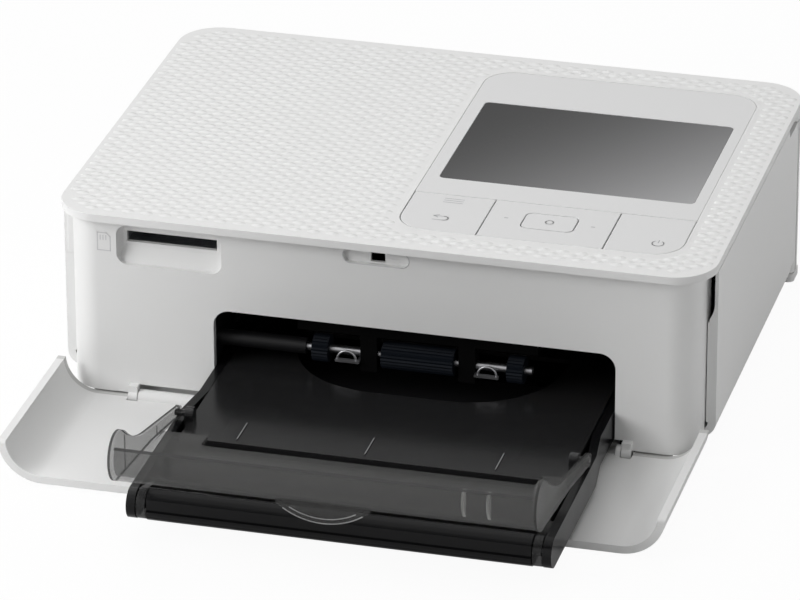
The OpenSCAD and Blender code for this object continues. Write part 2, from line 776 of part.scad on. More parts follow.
module key_board() color(board) {
    along_z(board_top - 1, board_top) rounded(panel_x + 1, panel_front + 1.5, panel_right - 1,
        key_back + 2.5, 1);
    // Dome switches under the keys
    for (x = [panel_x + menu_w / 2, ok_x - 12, ok_x, ok_x + 12, panel_right - power_w / 2])
        rod_z(2.2, board_top - eps, board_top + 0.8, x, ok_y);
    // Spacers that hang the board from the top cover
    for (x = [panel_x + 3, panel_right - 7])
        block([x, key_back + 1.2, board_top - eps], [x + 4, key_back + 2.4, roof]);
}

module display_window() color([0.12, 0.12, 0.13]) {
    along_z(body_h - panel_t + 0.1, body_h - 0.1) rounded(lcd_x, lcd_front, lcd_x + lcd_w,
        lcd_front + lcd_d, 1.4);
}

module display_module() color([0.6, 0.6, 0.62]) {
    along_z(roof - 1.5, roof) rounded(lcd_x - 2, lcd_front - 3, lcd_x + lcd_w + 2, lcd_front + lcd_d + 2,
        1);
    along_z(roof - eps, body_h - panel_t) rounded(lcd_x - 0.6, lcd_front - 0.6,
        lcd_x + lcd_w + 0.6, lcd_front + lcd_d + 0.6, 1);
}

module card_socket() color(steel) {
    y0 = face_y + recess_d + 1.5;
    difference() {
        block([card_mid - card_w / 2 - 1, y0, socket_z],
            [card_mid + card_w / 2 + 1, y0 + 28, slot_z + card_h / 2 + 0.9]);
        block([card_mid - card_w / 2 - 0.3, y0 - 1, slot_z - card_h / 2 - 0.3],
            [card_mid + card_w / 2 + 0.3, y0 + 26, slot_z + card_h / 2 + 0.3]);
    }
    // Legs that hang the socket from the top cover
    for (x = [card_mid - card_w / 2 - 1, card_mid + card_w / 2 - 1], y = [y0 + 8, y0 + 22])
        block([x, y, slot_z + card_h / 2 + 0.8], [x + 2, y + 3, roof]);
}

module main_board() color(board) {
    z0 = floor_z + 1.6;
    difference() {
        block([board_x0, front + 14, z0], [board_x1, rear - 8, z0 + 1.6]);
        for (x = [board_x0 + 3, board_x1 - 2.5], y = [front + 18, rear - 26]) rod_z(1.2, z0 - 1, z0 + 3,
            x, y);
    }
    // Processor, memory, capacitors and connectors
    translate([board_x0 + board_w * 0.2, front + 30, z0 + 1.5]) cube([board_w * 0.56, board_w * 0.56, 1.5]);
    translate([board_x0 + board_w * 0.2, front + 47, z0 + 1.5]) cube([board_w * 0.48, board_w * 0.36, 1.3]);
    for (i = [1:3]) rod_z(board_w * 0.14, z0 + 1.5, z0 + 10, board_x0 + board_w * (0.33 * i - 0.16),
        front + 66);
    for (i = [0:1]) translate([board_x0 + board_w * (0.1 + 0.45 * i), front + 22,
        z0 + 1.5]) cube([board_w * 0.36, 4, 4.5]);
}

module dc_inlet() color([0.1, 0.1, 0.1]) {
    x = dc_x;
    z = floor_z + 7.6;
    difference() {
        union() {
            block([x - 5, rear - 15, floor_z + 3.2], [x + 5, rear - shell_t - 0.8, z + 4.4]);
            translate([x, rear, z]) rotate([90, 0, 0]) cylinder(r = 4.1, h = shell_t + 2);
        }
        translate([x, rear + 1, z]) rotate([90, 0, 0]) cylinder(r = 2.9, h = 11);
    }
    translate([x, rear - 1.5, z]) rotate([90, 0, 0]) cylinder(r = 0.95, h = 9);
}

module usb_port() color(steel) {
    x = usb_x;
    z = floor_z + 6.4;
    along_y(rear - 9, rear - 0.8) difference() {
        rounded(x - 4.5, z - 1.65, x + 4.5, z + 1.65, 1.6);
        rounded(x - 4.2, z - 1.35, x + 4.2, z + 1.35, 1.3);
    }
    block([x - 4.4, rear - 9.6, floor_z + 3.2], [x + 4.4, rear - 9 + eps, z + 1.6]);
    block([x - 3.3, rear - 9, z - 0.35], [x + 3.3, rear - 3, z + 0.35]);
}

// Side plate of the print mechanism, with its fixing flange
module chassis_plate(x0, flange_x, front_top, bay) {
    difference() {
        union() {
            along_x(x0, x0 + plate_t) polygon([
                [chassis_y, floor_z], [rear - 8, floor_z], [rear - 8, roof - 4], [front + 44, roof - 4],
                [front + 42, front_top], [chassis_y, front_top]
            ]);
            for (y = screw_y) block([flange_x, y - 5, floor_z], [flange_x + 7.5, y + 5, floor_z + plate_t]);
            // Studs of the pick-up train
            if (!bay) for (p = [idler_1, idler_2, idler_3]) rod_x(1.5, train_x - gear_w - 0.4, x0 + eps,
                p[0], p[1]);
        }
        for (x = screw_x, y = screw_y) rod_z(1.25, floor_z - 1, floor_z + 3, x, y);
        rod_x(journal_r + run, x0 - 1, x0 + 3, front + head_y, platen_z);
        rod_x(journal_r + run, x0 - 1, x0 + 3, front + feed_y, feed_z);
        rod_x(1.5 + run, x0 - 1, x0 + 3, front + feed_y, pinch_z);
        rod_x(pick_shaft_r + run, left_x - plate_t - 1, left_x + 1, front + pick_y, pick_z);
        if (bay) block([x0 - 1, supply_y - tube_r - 1, spool_z - tube_r - 1],
            [x0 + 3, take_up_y + tube_r + 1, roof]);
        else for (y = [supply_y, take_up_y]) rod_x(2.4 + run, x0 - 1, x0 + 3, y, spool_z);
        // Slots that guide the print head
        if (!bay) block([x0 - 1, front + head_y - 2.6, head_pin_z - 2.6 - head_travel],
            [x0 + 3, front + head_y + 2.6, head_pin_z + 2.6]);
    }
}

module left_chassis() color(steel) {
    chassis_plate(left_x - plate_t, left_x - plate_t - 7.5 + eps, socket_z - gap, false);
}

module right_chassis() color(steel) {
    chassis_plate(right_x, right_x + plate_t - eps, roof - 4, true);
}

module cassette_tunnel() color(black) {
    x0 = mouth_l - 0.9;
    x1 = mouth_rt + 0.9;
    difference() {
        both_sides() along_x(x0 - 1.5, x0) polygon([
            [shell_back, floor_z], [front + cas_back + 4, floor_z], [front + cas_back + 4, lid_z + 1],
                [front + 24, lid_z + 1],
            [front + 22, mouth_z + 1.5], [shell_back, mouth_z + 1.5]
        ]);
        rod_x(pick_shaft_r + run, x0 - 3, x0 + 1, front + pick_y, pick_z);
    }
    // Sleeve over the pick-up shaft
    difference() {
        rod_x(pick_shaft_r + 1, x0 - eps, path_x - pick_side_x - pick_side_w / 2 - 2, front + pick_y,
            pick_z);
        rod_x(pick_shaft_r + run, x0 - 3, path_x, front + pick_y, pick_z);
    }
    block([x0 - eps, shell_back, mouth_z + 0.3], [x1 + eps, front + 22, mouth_z + 1.5]);
    // Brackets to the chassis plates
    for (y = [front + 12, front + 74], s = [0, 1])
        block([s ? x1 + 1.5 - eps : left_x, y, floor_z + 4], [s ? right_x : x0 - 1.5 + eps, y + 3,
            floor_z + 10]);
}

module pickup_bracket() color(black) {
    z0 = pick_z - 4.6;
    difference() {
        union() {
            block([path_x - 33.5, front + 7.5, mouth_z - 5], [path_x + 33.5, front + 13, mouth_z + 0.3]);
            both_sides() block([path_x - 16, front + pick_y - 2.2, z0], [path_x - 11.4,
                front + pick_y + 2.2, mouth_z - 4.9]);
        }
        rod_x(pick_shaft_r + run, path_x - 40, path_x + 40, front + pick_y, pick_z);
    }
}

module pickup_shaft() color(steel) {
    rod_x(pick_shaft_r, train_x - gear_w - 0.3, path_x + 31.5, front + pick_y, pick_z);
}

module pickup_roller_middle() color(rubber) {
    fluted_tyre(pick_r, path_x - pick_w / 2, path_x + pick_w / 2, pick_shaft_r, 24);
}

module pickup_roller_left() color(rubber) {
    fluted_tyre(pick_r, path_x - pick_side_x - pick_side_w / 2, path_x - pick_side_x + pick_side_w / 2,
        pick_shaft_r, 24);
}

module pickup_roller_right() color(rubber) {
    fluted_tyre(pick_r, path_x + pick_side_x - pick_side_w / 2, path_x + pick_side_x + pick_side_w / 2,
        pick_shaft_r, 24);
}

// Wire arch over a flat foot, fixed to the side of the bracket's arm
module paper_spring() {
    x = path_x - 19.6;
    y = front + pick_y - 3;
    translate([x, y, pick_z - 1.4]) rotate([90, 0, 0]) rotate_extrude(angle = 180) translate([2.6,
        0]) circle(0.35, $fn = 24);
    block([x - 3.2, y - 0.6, pick_z - 2], [path_x - 16, y + 0.6, pick_z - 1.3]);
    block([path_x - 16.8, y - 0.6, pick_z - 2], [path_x - 16, front + pick_y + 1, pick_z - 1.3]);
}

module paper_spring_left() color([0.85, 0.86, 0.88]) {
    paper_spring();
}

module paper_spring_right() color([0.85, 0.86, 0.88]) {
    translate([2 * path_x, 0, 0]) mirror([1, 0, 0]) paper_spring();
}

module platen_roller() color(rubber) {
    rod_x(platen_r, path_x - print_w / 2 - 2, path_x + print_w / 2 + 2, front + head_y, platen_z);
    rod_x(journal_r, left_x - plate_t - 0.8, right_x + plate_t + 0.8, front + head_y, platen_z);
}

module print_head() color([0.78, 0.79, 0.8]) {
    y = front + head_y;
    z0 = head_z;
    // Ceramic edge, carrier and finned heat sink
    block([path_x - print_w / 2, y - 1.5, z0], [path_x + print_w / 2, y + 1.5, z0 + 1.6]);
    block([path_x - print_w / 2, y - 7.5, z0 + 1.5], [path_x + print_w / 2, y + 7.5, z0 + 4]);
    for (i = [0:5]) block([path_x - print_w / 2, y - 7.5 + 2.76 * i, z0 + 3.9],
        [path_x + print_w / 2, y - 6.3 + 2.76 * i, roof - 3.2]);
    // Guide pin in the left plate's slot, held by its bracket
    rod_x(2.2, left_x - plate_t - 1, path_x - print_w / 2 + 1, y, head_pin_z);
}

module feed_roller() color([0.6, 0.61, 0.63]) {
    rod_x(feed_r, path_x - 52, path_x + 52, front + feed_y, feed_z);
    rod_x(journal_r, gear_x - gear_w - 0.5, right_x + plate_t + 0.8, front + feed_y, feed_z);
    gear_x_axis(feed_n, gear_x - gear_w, front + feed_y, feed_z, feed_motor_a);
    gear_x_axis(small_n, train_x - gear_w, front + feed_y, feed_z, 0);
}

module pinch_roller() color(rubber) {
    rod_x(pinch_r, path_x - 50, path_x + 50, front + feed_y, pinch_z);
    rod_x(1.5, left_x - plate_t - 0.6, right_x + plate_t + 0.6, front + feed_y, pinch_z);
}

module rear_paper_guide() color(black) {
    y0 = front + feed_y + feed_r + 1.2;
    for (z = [nip_z - slot_h / 2 - 1.2, nip_z + slot_h / 2])
        block([left_x, y0, z], [right_x, rear - shell_t, z + 1.2]);
}

module feed_motor() color([0.55, 0.56, 0.58]) {
    x1 = motor_x1;
    rod_x(feed_motor_r, motor_x0, x1, feed_motor_y, feed_motor_z);
    rod_x(3, x1 - eps, x1 + 0.9, feed_motor_y, feed_motor_z);
    // Mounting ear and pillars to the chassis plate
    difference() {
        block([x1 - 1.2, feed_motor_y - 3.5, feed_motor_z - feed_motor_r - 3.4],
            [x1, feed_motor_y + 3.5, feed_motor_z + feed_motor_r + 5]);
        rod_x(2, x1 - 3, x1 + 1, feed_motor_y, feed_motor_z);
    }
    rod_x(2, x1 - 1, x1, feed_motor_y, feed_motor_z);
    for (z = [feed_motor_z - feed_motor_r - 1.6, feed_motor_z + feed_motor_r + 3])
        rod_x(1.6, x1 - eps, left_x - plate_t, feed_motor_y, z);
}

module feed_pinion() color([0.8, 0.72, 0.45]) {
    gear_x_axis(pinion_n, gear_x - gear_w, feed_motor_y, feed_motor_z,
        feed_motor_a + 180 + 180 / pinion_n);
}

// Free gear on one of the left plate's studs
module idler_gear(p, turn) {
    difference() {
        gear_x_axis(idler_n, train_x - gear_w, p[0], p[1], turn);
        rod_x(1.5 + run, train_x - gear_w - 1, train_x + 1, p[0], p[1]);
        // Dished faces
        for (x = [train_x - gear_w - 1, train_x - 0.8]) difference() {
            rod_x(idler_pitch / 2 - 1.8, x, x + 1.8, p[0], p[1]);
            rod_x(3.2, x - 1, x + 3, p[0], p[1]);
        }
    }
}

module idler_gear_rear() color([0.9, 0.9, 0.86]) {
    idler_gear(idler_1, turn_1);
}

module idler_gear_middle() color([0.9, 0.9, 0.86]) {
    idler_gear(idler_2, turn_2);
}

module idler_gear_front() color([0.9, 0.9, 0.86]) {
    idler_gear(idler_3, turn_3);
}

module pickup_gear() color([0.9, 0.9, 0.86]) {
    difference() {
        gear_x_axis(small_n, train_x - gear_w, front + pick_y, pick_z, turn_4);
        rod_x(pick_shaft_r + 0.02, train_x - gear_w - 1, train_x + 1, front + pick_y, pick_z);
    }
}

module ribbon_motor() color([0.55, 0.56, 0.58]) {
    x1 = motor_x1;
    y = take_up_y + ribbon_pitch;
    rod_x(ribbon_motor_r, motor_x0, x1, y, spool_z);
    rod_x(2.5, x1 - eps, x1 + 0.9, y, spool_z);
    // Mounting ear and arm to the chassis plate
    block([x1 - 1.2, y + 2, spool_z - 3], [x1, y + ribbon_motor_r + 4.4, spool_z + 3]);
    block([x1 - eps, y + ribbon_motor_r + 1.4, spool_z - 3], [left_x - plate_t, y + ribbon_motor_r + 4.4,
        spool_z + 3]);
}

module ribbon_pinion() color([0.8, 0.72, 0.45]) {
    gear_x_axis(pinion_n, gear_x - gear_w, take_up_y + ribbon_pitch, spool_z, 180 + 180 / pinion_n);
}

// Drive dog that turns a spool from the left plate
module spool_hub(y) {
    rod_x(2.4, left_x - plate_t - 0.9, left_x + 1, y, spool_z);
    rod_x(hub_r, left_x + 0.3, cart_x0 - 0.5, y, spool_z);
    rod_x(1.8, cart_x0 - 0.6, spool_x0 + 2.5, y, spool_z);
}

module take_up_drive() color([0.85, 0.85, 0.8]) {
    spool_hub(take_up_y);
    rod_x(2.4, gear_x - gear_w, left_x - plate_t, take_up_y, spool_z);
    gear_x_axis(ribbon_n, gear_x - gear_w, take_up_y, spool_z, 0);
}

module supply_hub() color([0.85, 0.85, 0.8]) {
    spool_hub(supply_y);
    rod_x(hub_r, left_x - plate_t - 0.9, left_x - plate_t - 0.2, supply_y, spool_z);
}

module ribbon_cartridge() color(black) {
    difference() {
        union() {
            for (y = [supply_y, take_up_y]) rod_x(tube_r, cart_x0, cart_x1, y, spool_z);
            // Bridges between the housings: a low one that passes under the head, and the handle
            block([cart_x0, supply_y, spool_z - tube_r], [cart_x0 + 4, take_up_y, spool_z - tube_r + 1.5]);
            block([cart_x1 - 6, supply_y, spool_z - tube_r], [cart_x1, take_up_y, spool_z + 4]);
        }
        for (y = [supply_y, take_up_y]) {
            rod_x(tube_r - 1, spool_x0 - 1, spool_x1 + 1, y, spool_z);
            rod_x(4, cart_x0 - 1, spool_x0, y, spool_z);
            rod_x(3 + run, spool_x1, spool_x1 + 4, y, spool_z);
            // Slit that lets the ribbon out
            s = y == supply_y ? 1 : -1;
            block([spool_x0 - 0.5, min(y + s * 1, y + s * tube_r), spool_z - tube_r - 1],
                [spool_x1 + 0.5, max(y + s * 1, y + s * tube_r), spool_z - tube_r + 3]);
        }
        // Finger hollow in the handle
        block([cart_x1 - 4.6, supply_y + tube_r + 1.5, spool_z - tube_r + 1.5],
            [cart_x1 + 1, take_up_y - tube_r - 1.5, spool_z + 5]);
    }
}

module spool(y, r) {
    difference() {
        union() {
            rod_x(core_r, spool_x0, spool_x1, y, spool_z);
            rod_x(r, spool_x0 + 2, spool_x1 - 2, y, spool_z);
            rod_x(3, spool_x1 - eps, spool_x1 + 3, y, spool_z);
        }
        rod_x(1.8 + run, spool_x0 - 1, spool_x0 + 3.5, y, spool_z);
    }
}

module supply_spool() color([0.3, 0.25, 0.15]) {
    spool(supply_y, supply_r);
}

module take_up_spool() color([0.2, 0.2, 0.25]) {
    spool(take_up_y, take_up_r);
}

module ribbon_film() color([0.75, 0.65, 0.2]) {
    block([spool_x0 + 2, supply_y + 5.2, film_z], [spool_x1 - 2, take_up_y - 5.2, film_z + 0.15]);
}

// Side profile of the cassette, rounded at its front end
module cassette_side() {
    translate([bar_y, cas_z]) square([front + cas_back - bar_y, cas_h]);
    translate([bar_y, bar_z]) circle(bar_r);
}

module cassette_base() color(black) {
    rear_y = front + cas_back;
    difference() {
        union() {
            // Side walls, wider at the grip
            both_sides() intersection() {
                along_x(path_x - grip_w, path_x) cassette_side();
                along_z(0, 30) polygon([
                    [path_x - cas_w / 2, rear_y], [path_x - cas_w / 2, front - 12],
                    [path_x - grip_w / 2, front - 24], [path_x - grip_w / 2, front - cas_front - 1],
                    [path_x - grip_w / 2 + cas_wall, front - cas_front - 1],
                        [path_x - grip_w / 2 + cas_wall, front - 24],
                    [path_x - cas_w / 2 + cas_wall, front - 12], [path_x - cas_w / 2 + cas_wall, rear_y]
                ]);
            }
            // Floor and rear wall
            along_z(cas_z, cas_z + cas_floor) polygon([
                [path_x - cas_w / 2 + 1, rear_y], [path_x - cas_w / 2 + 1, front - 12],
                [path_x - grip_w / 2 + 1, front - 24], [path_x - grip_w / 2 + 1, bar_y + 5],
                [path_x + grip_w / 2 - 1, bar_y + 5], [path_x + grip_w / 2 - 1, front - 24],
                [path_x + cas_w / 2 - 1, front - 12], [path_x + cas_w / 2 - 1, rear_y]
            ]);
            block([path_x - cas_w / 2 + 1, rear_y - 2, cas_z], [path_x + cas_w / 2 - 1, rear_y,
                cas_z + 5.4]);
            // Front grip bar between the lid's arms
            along_x(path_x - arm_x + arm_w + gap, path_x + arm_x - arm_w - gap) {
                translate([bar_y, cas_z]) square([6, cas_floor]);
                intersection() {
                    translate([bar_y - 0.2, bar_z]) circle(bar_r);
                    translate([bar_y - bar_r + 0.7, cas_z]) square([bar_r + 2.6, cas_h]);
                }
                intersection() {
                    translate([bar_y, bar_z]) circle(bar_r);
                    translate([bar_y - bar_r, cas_z]) square([bar_r, bar_r - 0.6]);
                }
            }
        }
        // Window for the printer's lifting finger, and the hinge bores
        block([path_x - 5, front + 6, cas_z - 1], [path_x + 5, front + 14, cas_z + 3]);
        both_sides() rod_x(1.5 + 0.02, path_x - grip_w / 2 + 0.8, path_x - grip_w / 2 + cas_wall + 1,
            bar_y, bar_z);
        both_sides() rod_x(0.6 + run, path_x - grip_w / 2 + 1, path_x - grip_w / 2 + cas_wall + 1,
            front - tray_pin_y + 0.5, lift_z);
    }
}

module lift_plate() color([0.5, 0.5, 0.52]) {
    w = cas_w / 2 - 6.5;
    y0 = front - tray_pin_y + 0.5;
    difference() {
        block([path_x - w, y0, lift_z - 0.4], [path_x + w, y0 + 54, lift_z + 0.4]);
        both_sides() block([path_x - w + 3, y0 + 8, lift_z - 1], [path_x - w + 15, y0 + 24, lift_z + 1]);
    }
    rod_x(0.6, path_x - grip_w / 2 + 1.2, path_x + grip_w / 2 - 1.2, y0, lift_z);
}

module inner_lid() color(smoke) {
    w = cas_w / 2 - cas_wall - gap;
    arm_in = arm_x - arm_w;
    difference() {
        union() {
            // Plate with the pick-up cut-out
            along_z(lid_z - lid_t, lid_z) difference() {
                translate([path_x - w, step_y]) square([2 * w, front + cas_back - 6 - step_y]);
                rounded(path_x - cut_w / 2, front - cut_y, path_x + cut_w / 2, front + 60, cut_r);
            }
            along_z(lid_z - lid_t, lid_z) translate([path_x - cut_w / 2 - 1, front + 30])
                square([cut_w + 2, cas_back - 36]);
            // Lower front part below the outer lid, and the step up to the plate
            block([path_x - w, bar_y + 7, low_lid_z - lid_t], [path_x + w, step_y + eps, low_lid_z]);
            block([path_x - w, step_y, low_lid_z - lid_t], [path_x + w, step_y + lid_t, lid_z]);
            // Raised ticks for the paper's edges
            for (x = [path_x - 37.3, path_x - 2.2, path_x + 33.3])
                block([x - 0.25, front - 38.7, lid_z - eps], [x + 0.25, front - 29.2, lid_z + 0.3]);
            // Arms to the front hinge
            both_sides() {
                along_x(path_x - arm_x, path_x - arm_in) {
                    translate([bar_y, bar_z]) circle(bar_r - 0.1);
                    polygon([[bar_y, bar_z - 1], [bar_y + 8, low_lid_z - lid_t], [bar_y + 12,
                        low_lid_z - lid_t],
                        [bar_y + 12, low_lid_z], [bar_y, bar_z + bar_r - 0.1]]);
                }
                // Ears that carry the outer lid
                along_x(path_x - tray_x + tray_t + 1.6, path_x - tray_x + tray_t + 4) {
                    translate([tray_y, tray_z]) circle(1.9);
                    translate([tray_y - 1.9, lid_z - lid_t]) square([3.8, tray_z - lid_z + lid_t]);
                }
                rod_x(0.9, path_x - tray_x, path_x - tray_x + tray_t + 1.7, tray_y, tray_z);
            }
        }
        rod_x(1.5 + run, path_x - 70, path_x + 70, bar_y, bar_z);
    }
}

module inner_lid_pins() color(steel) {
    both_sides() rod_x(1.5, path_x - grip_w / 2 + 0.9, path_x - arm_x + arm_w - 0.1, bar_y, bar_z);
}

// Outer lid seen from the side: hinge tip, rising arm, hollow and rounded front corner
tray_round = 8;
tray_cz = tray_top - 6;
tray_cy = front - tray_front + tray_round;
tray_floor_z = tray_cz - tray_round;
tray_slope = 3.4 / 29.4;

function arc(y, z, r, a0, a1, n) = [for (i = [0:n]) let (a = a0 + (a1 - a0) * i / n) [y + r * cos(a),
    z + r * sin(a)]];

module tray_side() {
    translate([tray_y, tray_z]) circle(1.9);
    polygon(concat(
        [[tray_y - 0.4, tray_z - 1.4], [tray_cy + 29.4, tray_floor_z - 3.4], [tray_cy,
            tray_floor_z + 0.04]],
        arc(tray_cy - 2, tray_top - 9, 8.98, 92, 46.4, 8), arc(tray_cy + 30.8, tray_top + 27.5, 40,
            228.4, 257.9, 9),
        [[tray_y - 0.2, tray_z + 1.86]]
    ));
    tray_nose();
}

// Rounded front of the outer lid: a large radius below and a smaller one above
module tray_nose(d = 0) {
    intersection() {
        translate([tray_cy, tray_cz]) circle(tray_round - d);
        translate([tray_cy - tray_round - 1, tray_cz - tray_round - 1]) square([tray_round + 1,
            tray_round + 1]);
    }
    intersection() {
        translate([tray_cy - 2, tray_cz]) circle(6 - d);
        translate([tray_cy - tray_round - 1, tray_cz]) square([tray_round, 8]);
    }
}

module outer_lid() color(smoke) {
    floor_y = tray_cy + tray_floor;
    floor_0 = tray_floor_z + tray_slope + 0.06;
    floor_1 = tray_floor_z - tray_slope * tray_floor + 0.06;
    x0 = path_x - tray_x;
    x1 = path_x + tray_x;
    difference() {
        union() {
            both_sides() along_x(x0, x0 + tray_t) tray_side();
            // Floor, notched at its rear edge
            difference() {
                along_x(x0 + 0.4, x1 - 0.4) polygon([
                    [tray_cy - 1, floor_0], [floor_y, floor_1], [floor_y, floor_1 + tray_t],
                        [tray_cy - 1, floor_0 + tray_t]
                ]);
                along_z(0, 60) rounded(x0 + 14.6, floor_y - tray_notch, x1 - 8, floor_y + 10, 1.6);
            }
            // Bulged front wall with its rim
            along_x(x0 + 0.4, x1 - 0.4) intersection() {
                difference() {
                    tray_nose(0.05);
                    tray_nose(tray_t);
                }
                translate([tray_cy - tray_round, tray_floor_z - 1])
                    square([tray_round - 0.2, tray_top - 1.6 - tray_floor_z]);
            }
            // Gussets inside the front wall
            for (x = [path_x - 41.5, path_x + 37.2, path_x + 43.8])
                along_x(x - 0.4, x + 0.4) intersection() {
                    tray_nose(0.5);
                    translate([tray_cy - tray_round, tray_floor_z + 0.7]) square([3.4, 10.4]);
                }
            // Thumb lip under the front wall
            along_y(tray_cy - 5.8, tray_cy - 3.8) intersection() {
                translate([path_x, tray_floor_z + 15.7]) circle(19, $fn = 96);
                translate([path_x - 12.6, tray_floor_z - 4]) square([25.2, 6.4]);
            }
            // Ribs inside the side walls
            for (r = [[x0, -55.5, 3.5, 22.9], [x0, -80.6, 0.7, 34], [x1, -73.6, 0.7, 29.4], [x1, -49.6,
                0.7, 21.6]])
                block([r[0] == x0 ? x0 + tray_t - eps : x1 - tray_t - 0.4, front + r[1],
                    tray_floor_z + 0.4 - tray_slope * (r[1] + tray_front - tray_round)],
                    [r[0] == x0 ? x0 + tray_t + 0.4 : x1 - tray_t + eps, front + r[1] + r[2], r[3]]);
        }
        rod_x(0.9 + run, x0 - 1, x1 + 1, tray_y, tray_z);
    }
}

module case_screws() color(steel) {
    for (x = screw_x, y = screw_y) {
        rod_z(2.4, base_z + 0.1, base_z + 1, x, y);
        rod_z(1.2, base_z + 0.9, floor_z + 2.6, x, y);
    }
}

base_tray();
rubber_feet();
front_shell();
left_side_panel();
rear_panel();
top_cover();
right_side_frame();
side_cover();
side_cover_pins();
front_cover();
front_cover_pins();
control_panel();
menu_key();
navigation_key();
ok_key();
power_key();
key_board();
display_window();
display_module();
card_socket();
main_board();
dc_inlet();
usb_port();
left_chassis();
right_chassis();
cassette_tunnel();
pickup_bracket();
pickup_shaft();
pickup_roller_middle();
pickup_roller_left();
pickup_roller_right();
paper_spring_left();
paper_spring_right();
platen_roller();
print_head();
feed_roller();
pinch_roller();
rear_paper_guide();
feed_motor();
feed_pinion();
idler_gear_rear();
idler_gear_middle();
idler_gear_front();
pickup_gear();
ribbon_motor();
ribbon_pinion();
take_up_drive();
supply_hub();
ribbon_cartridge();
supply_spool();
take_up_spool();
ribbon_film();
cassette_base();
lift_plate();
inner_lid();
inner_lid_pins();
outer_lid();
case_screws();
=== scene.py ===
import json
import math

import bmesh
import bpy
from mathutils import Matrix, Vector


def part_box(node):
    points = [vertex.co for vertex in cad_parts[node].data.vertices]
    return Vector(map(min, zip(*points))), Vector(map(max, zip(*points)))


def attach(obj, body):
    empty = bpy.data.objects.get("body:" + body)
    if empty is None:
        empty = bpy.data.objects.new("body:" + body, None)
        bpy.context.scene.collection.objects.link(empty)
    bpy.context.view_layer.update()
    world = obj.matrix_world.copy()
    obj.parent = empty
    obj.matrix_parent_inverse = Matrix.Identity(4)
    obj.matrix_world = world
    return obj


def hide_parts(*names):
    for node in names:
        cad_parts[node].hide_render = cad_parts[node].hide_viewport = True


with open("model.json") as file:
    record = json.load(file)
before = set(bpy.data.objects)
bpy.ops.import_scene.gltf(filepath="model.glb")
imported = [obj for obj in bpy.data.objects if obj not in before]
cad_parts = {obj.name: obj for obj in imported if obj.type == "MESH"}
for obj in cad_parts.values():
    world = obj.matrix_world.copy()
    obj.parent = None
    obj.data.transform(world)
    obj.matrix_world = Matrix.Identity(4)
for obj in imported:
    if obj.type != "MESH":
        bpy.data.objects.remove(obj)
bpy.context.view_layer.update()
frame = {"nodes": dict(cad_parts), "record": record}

cad = frame["nodes"]
record = frame["record"]
MM = 0.001


# Base and rubber feet. The base is a white moulded tray with an upstand, and the feet are
# grey rubber discs pressed into its underside.

class Value:
    """A socket of a material, on which arithmetic adds the Math nodes."""

    def __init__(self, finish, socket):
        self.finish = finish
        self.socket = socket

    def maths(self, operation, *values):
        return self.finish.node("ShaderNodeMath", {"operation": operation}, *values)

    def __add__(self, other):
        return self.maths("ADD", self, other)

    def __sub__(self, other):
        return self.maths("SUBTRACT", self, other)

    def __rsub__(self, other):
        return self.maths("SUBTRACT", other, self)

    def __mul__(self, other):
        return self.maths("MULTIPLY", self, other)

    def __gt__(self, other):
        return self.maths("GREATER_THAN", self, other)

    __radd__ = __add__
    __rmul__ = __mul__


class Finish:
    """One finish of the printer: a Principled shader with what varies over the surface."""

    def __init__(self, name, color, rough, metallic=0.0):
        self.material = bpy.data.materials.new(name)
        self.material.use_nodes = True
        self.tree = self.material.node_tree
        self.shader = self.tree.nodes["Principled BSDF"]
        self.place = self.node("ShaderNodeTexCoord", {}, output="Object")
        self.put((*color, 1), "Base Color")
        self.put(rough, "Roughness")
        self.put(metallic, "Metallic")

    def node(self, kind, settings, *values, output=0, **named):
        """Any node: its settings first, then the values or links of its sockets."""
        made = self.tree.nodes.new(kind)
        for name, value in settings.items():
            setattr(made, name, value)
        for socket, value in zip(made.inputs, values):
            self.join(socket, value)
        for name, value in named.items():
            self.join(made.inputs[name], value)
        return Value(self, made.outputs[output])

    def join(self, socket, value):
        if isinstance(value, Value):
            self.tree.links.new(value.socket, socket)
        else:
            socket.default_value = value

    def put(self, value, name):
        """Sets or links one socket of the shader."""
        self.join(self.shader.inputs[name], value)

    def noise(self, size, detail=3, stretch=None):
        """Noise of about one feature every size millimetres, from 0 to 1."""
        place = self.place
        if stretch:
            place = self.node("ShaderNodeMapping", {}, place, Scale=stretch)
        return self.node("ShaderNodeTexNoise", {}, Vector=place, Scale=1 / (size * MM), Detail=detail)

    def mixed(self, first, second, factor):
        """A colour between two, by a factor that varies."""
        made = self.tree.nodes.new("ShaderNodeMix")
        made.data_type = "RGBA"
        self.join(made.inputs[0], factor)
        self.join(made.inputs[6], (*first, 1))
        self.join(made.inputs[7], (*second, 1))
        return Value(self, made.outputs[2])

    def bumps(self, height, depth):
        """Relief of a depth in millimetres, from a height of 0 to 1."""
        self.put(self.node("ShaderNodeBump", {}, Strength=1.0, Distance=depth * MM, Height=height), "Normal")


DRIFT_SIZE, SHEEN_DRIFT = 18, 0.08


def moulded(name, color, rough, grain=0.35, depth=0.01, spread=0.05):
    """Moulded plastic: a fine grain from the tool, and sheen that drifts over the surface."""
    finish = Finish(name, color, rough)
    drift = finish.noise(DRIFT_SIZE, 2)
    darker = [channel * (1 - spread) for channel in color]
    finish.put(finish.mixed(darker, color, drift), "Base Color")
    finish.put(drift * SHEEN_DRIFT + (rough - SHEEN_DRIFT / 2), "Roughness")
    finish.bumps(finish.noise(grain, 2), depth)
    return finish


white_plastic = moulded("white_plastic", (0.79, 0.79, 0.785), 0.42, spread=0.02)
white_plastic.put(0.35, "Specular IOR Level")
foot_rubber = moulded("foot_rubber", (0.06, 0.06, 0.062), 0.75, grain=0.6, depth=0.05, spread=0.2)


def paint(node, finish):
    """Gives a CAD node its finish."""
    mesh = cad[node].data
    mesh.materials.clear()
    mesh.materials.append(finish.material)


paint("base_tray", white_plastic)
paint("rubber_feet", foot_rubber)

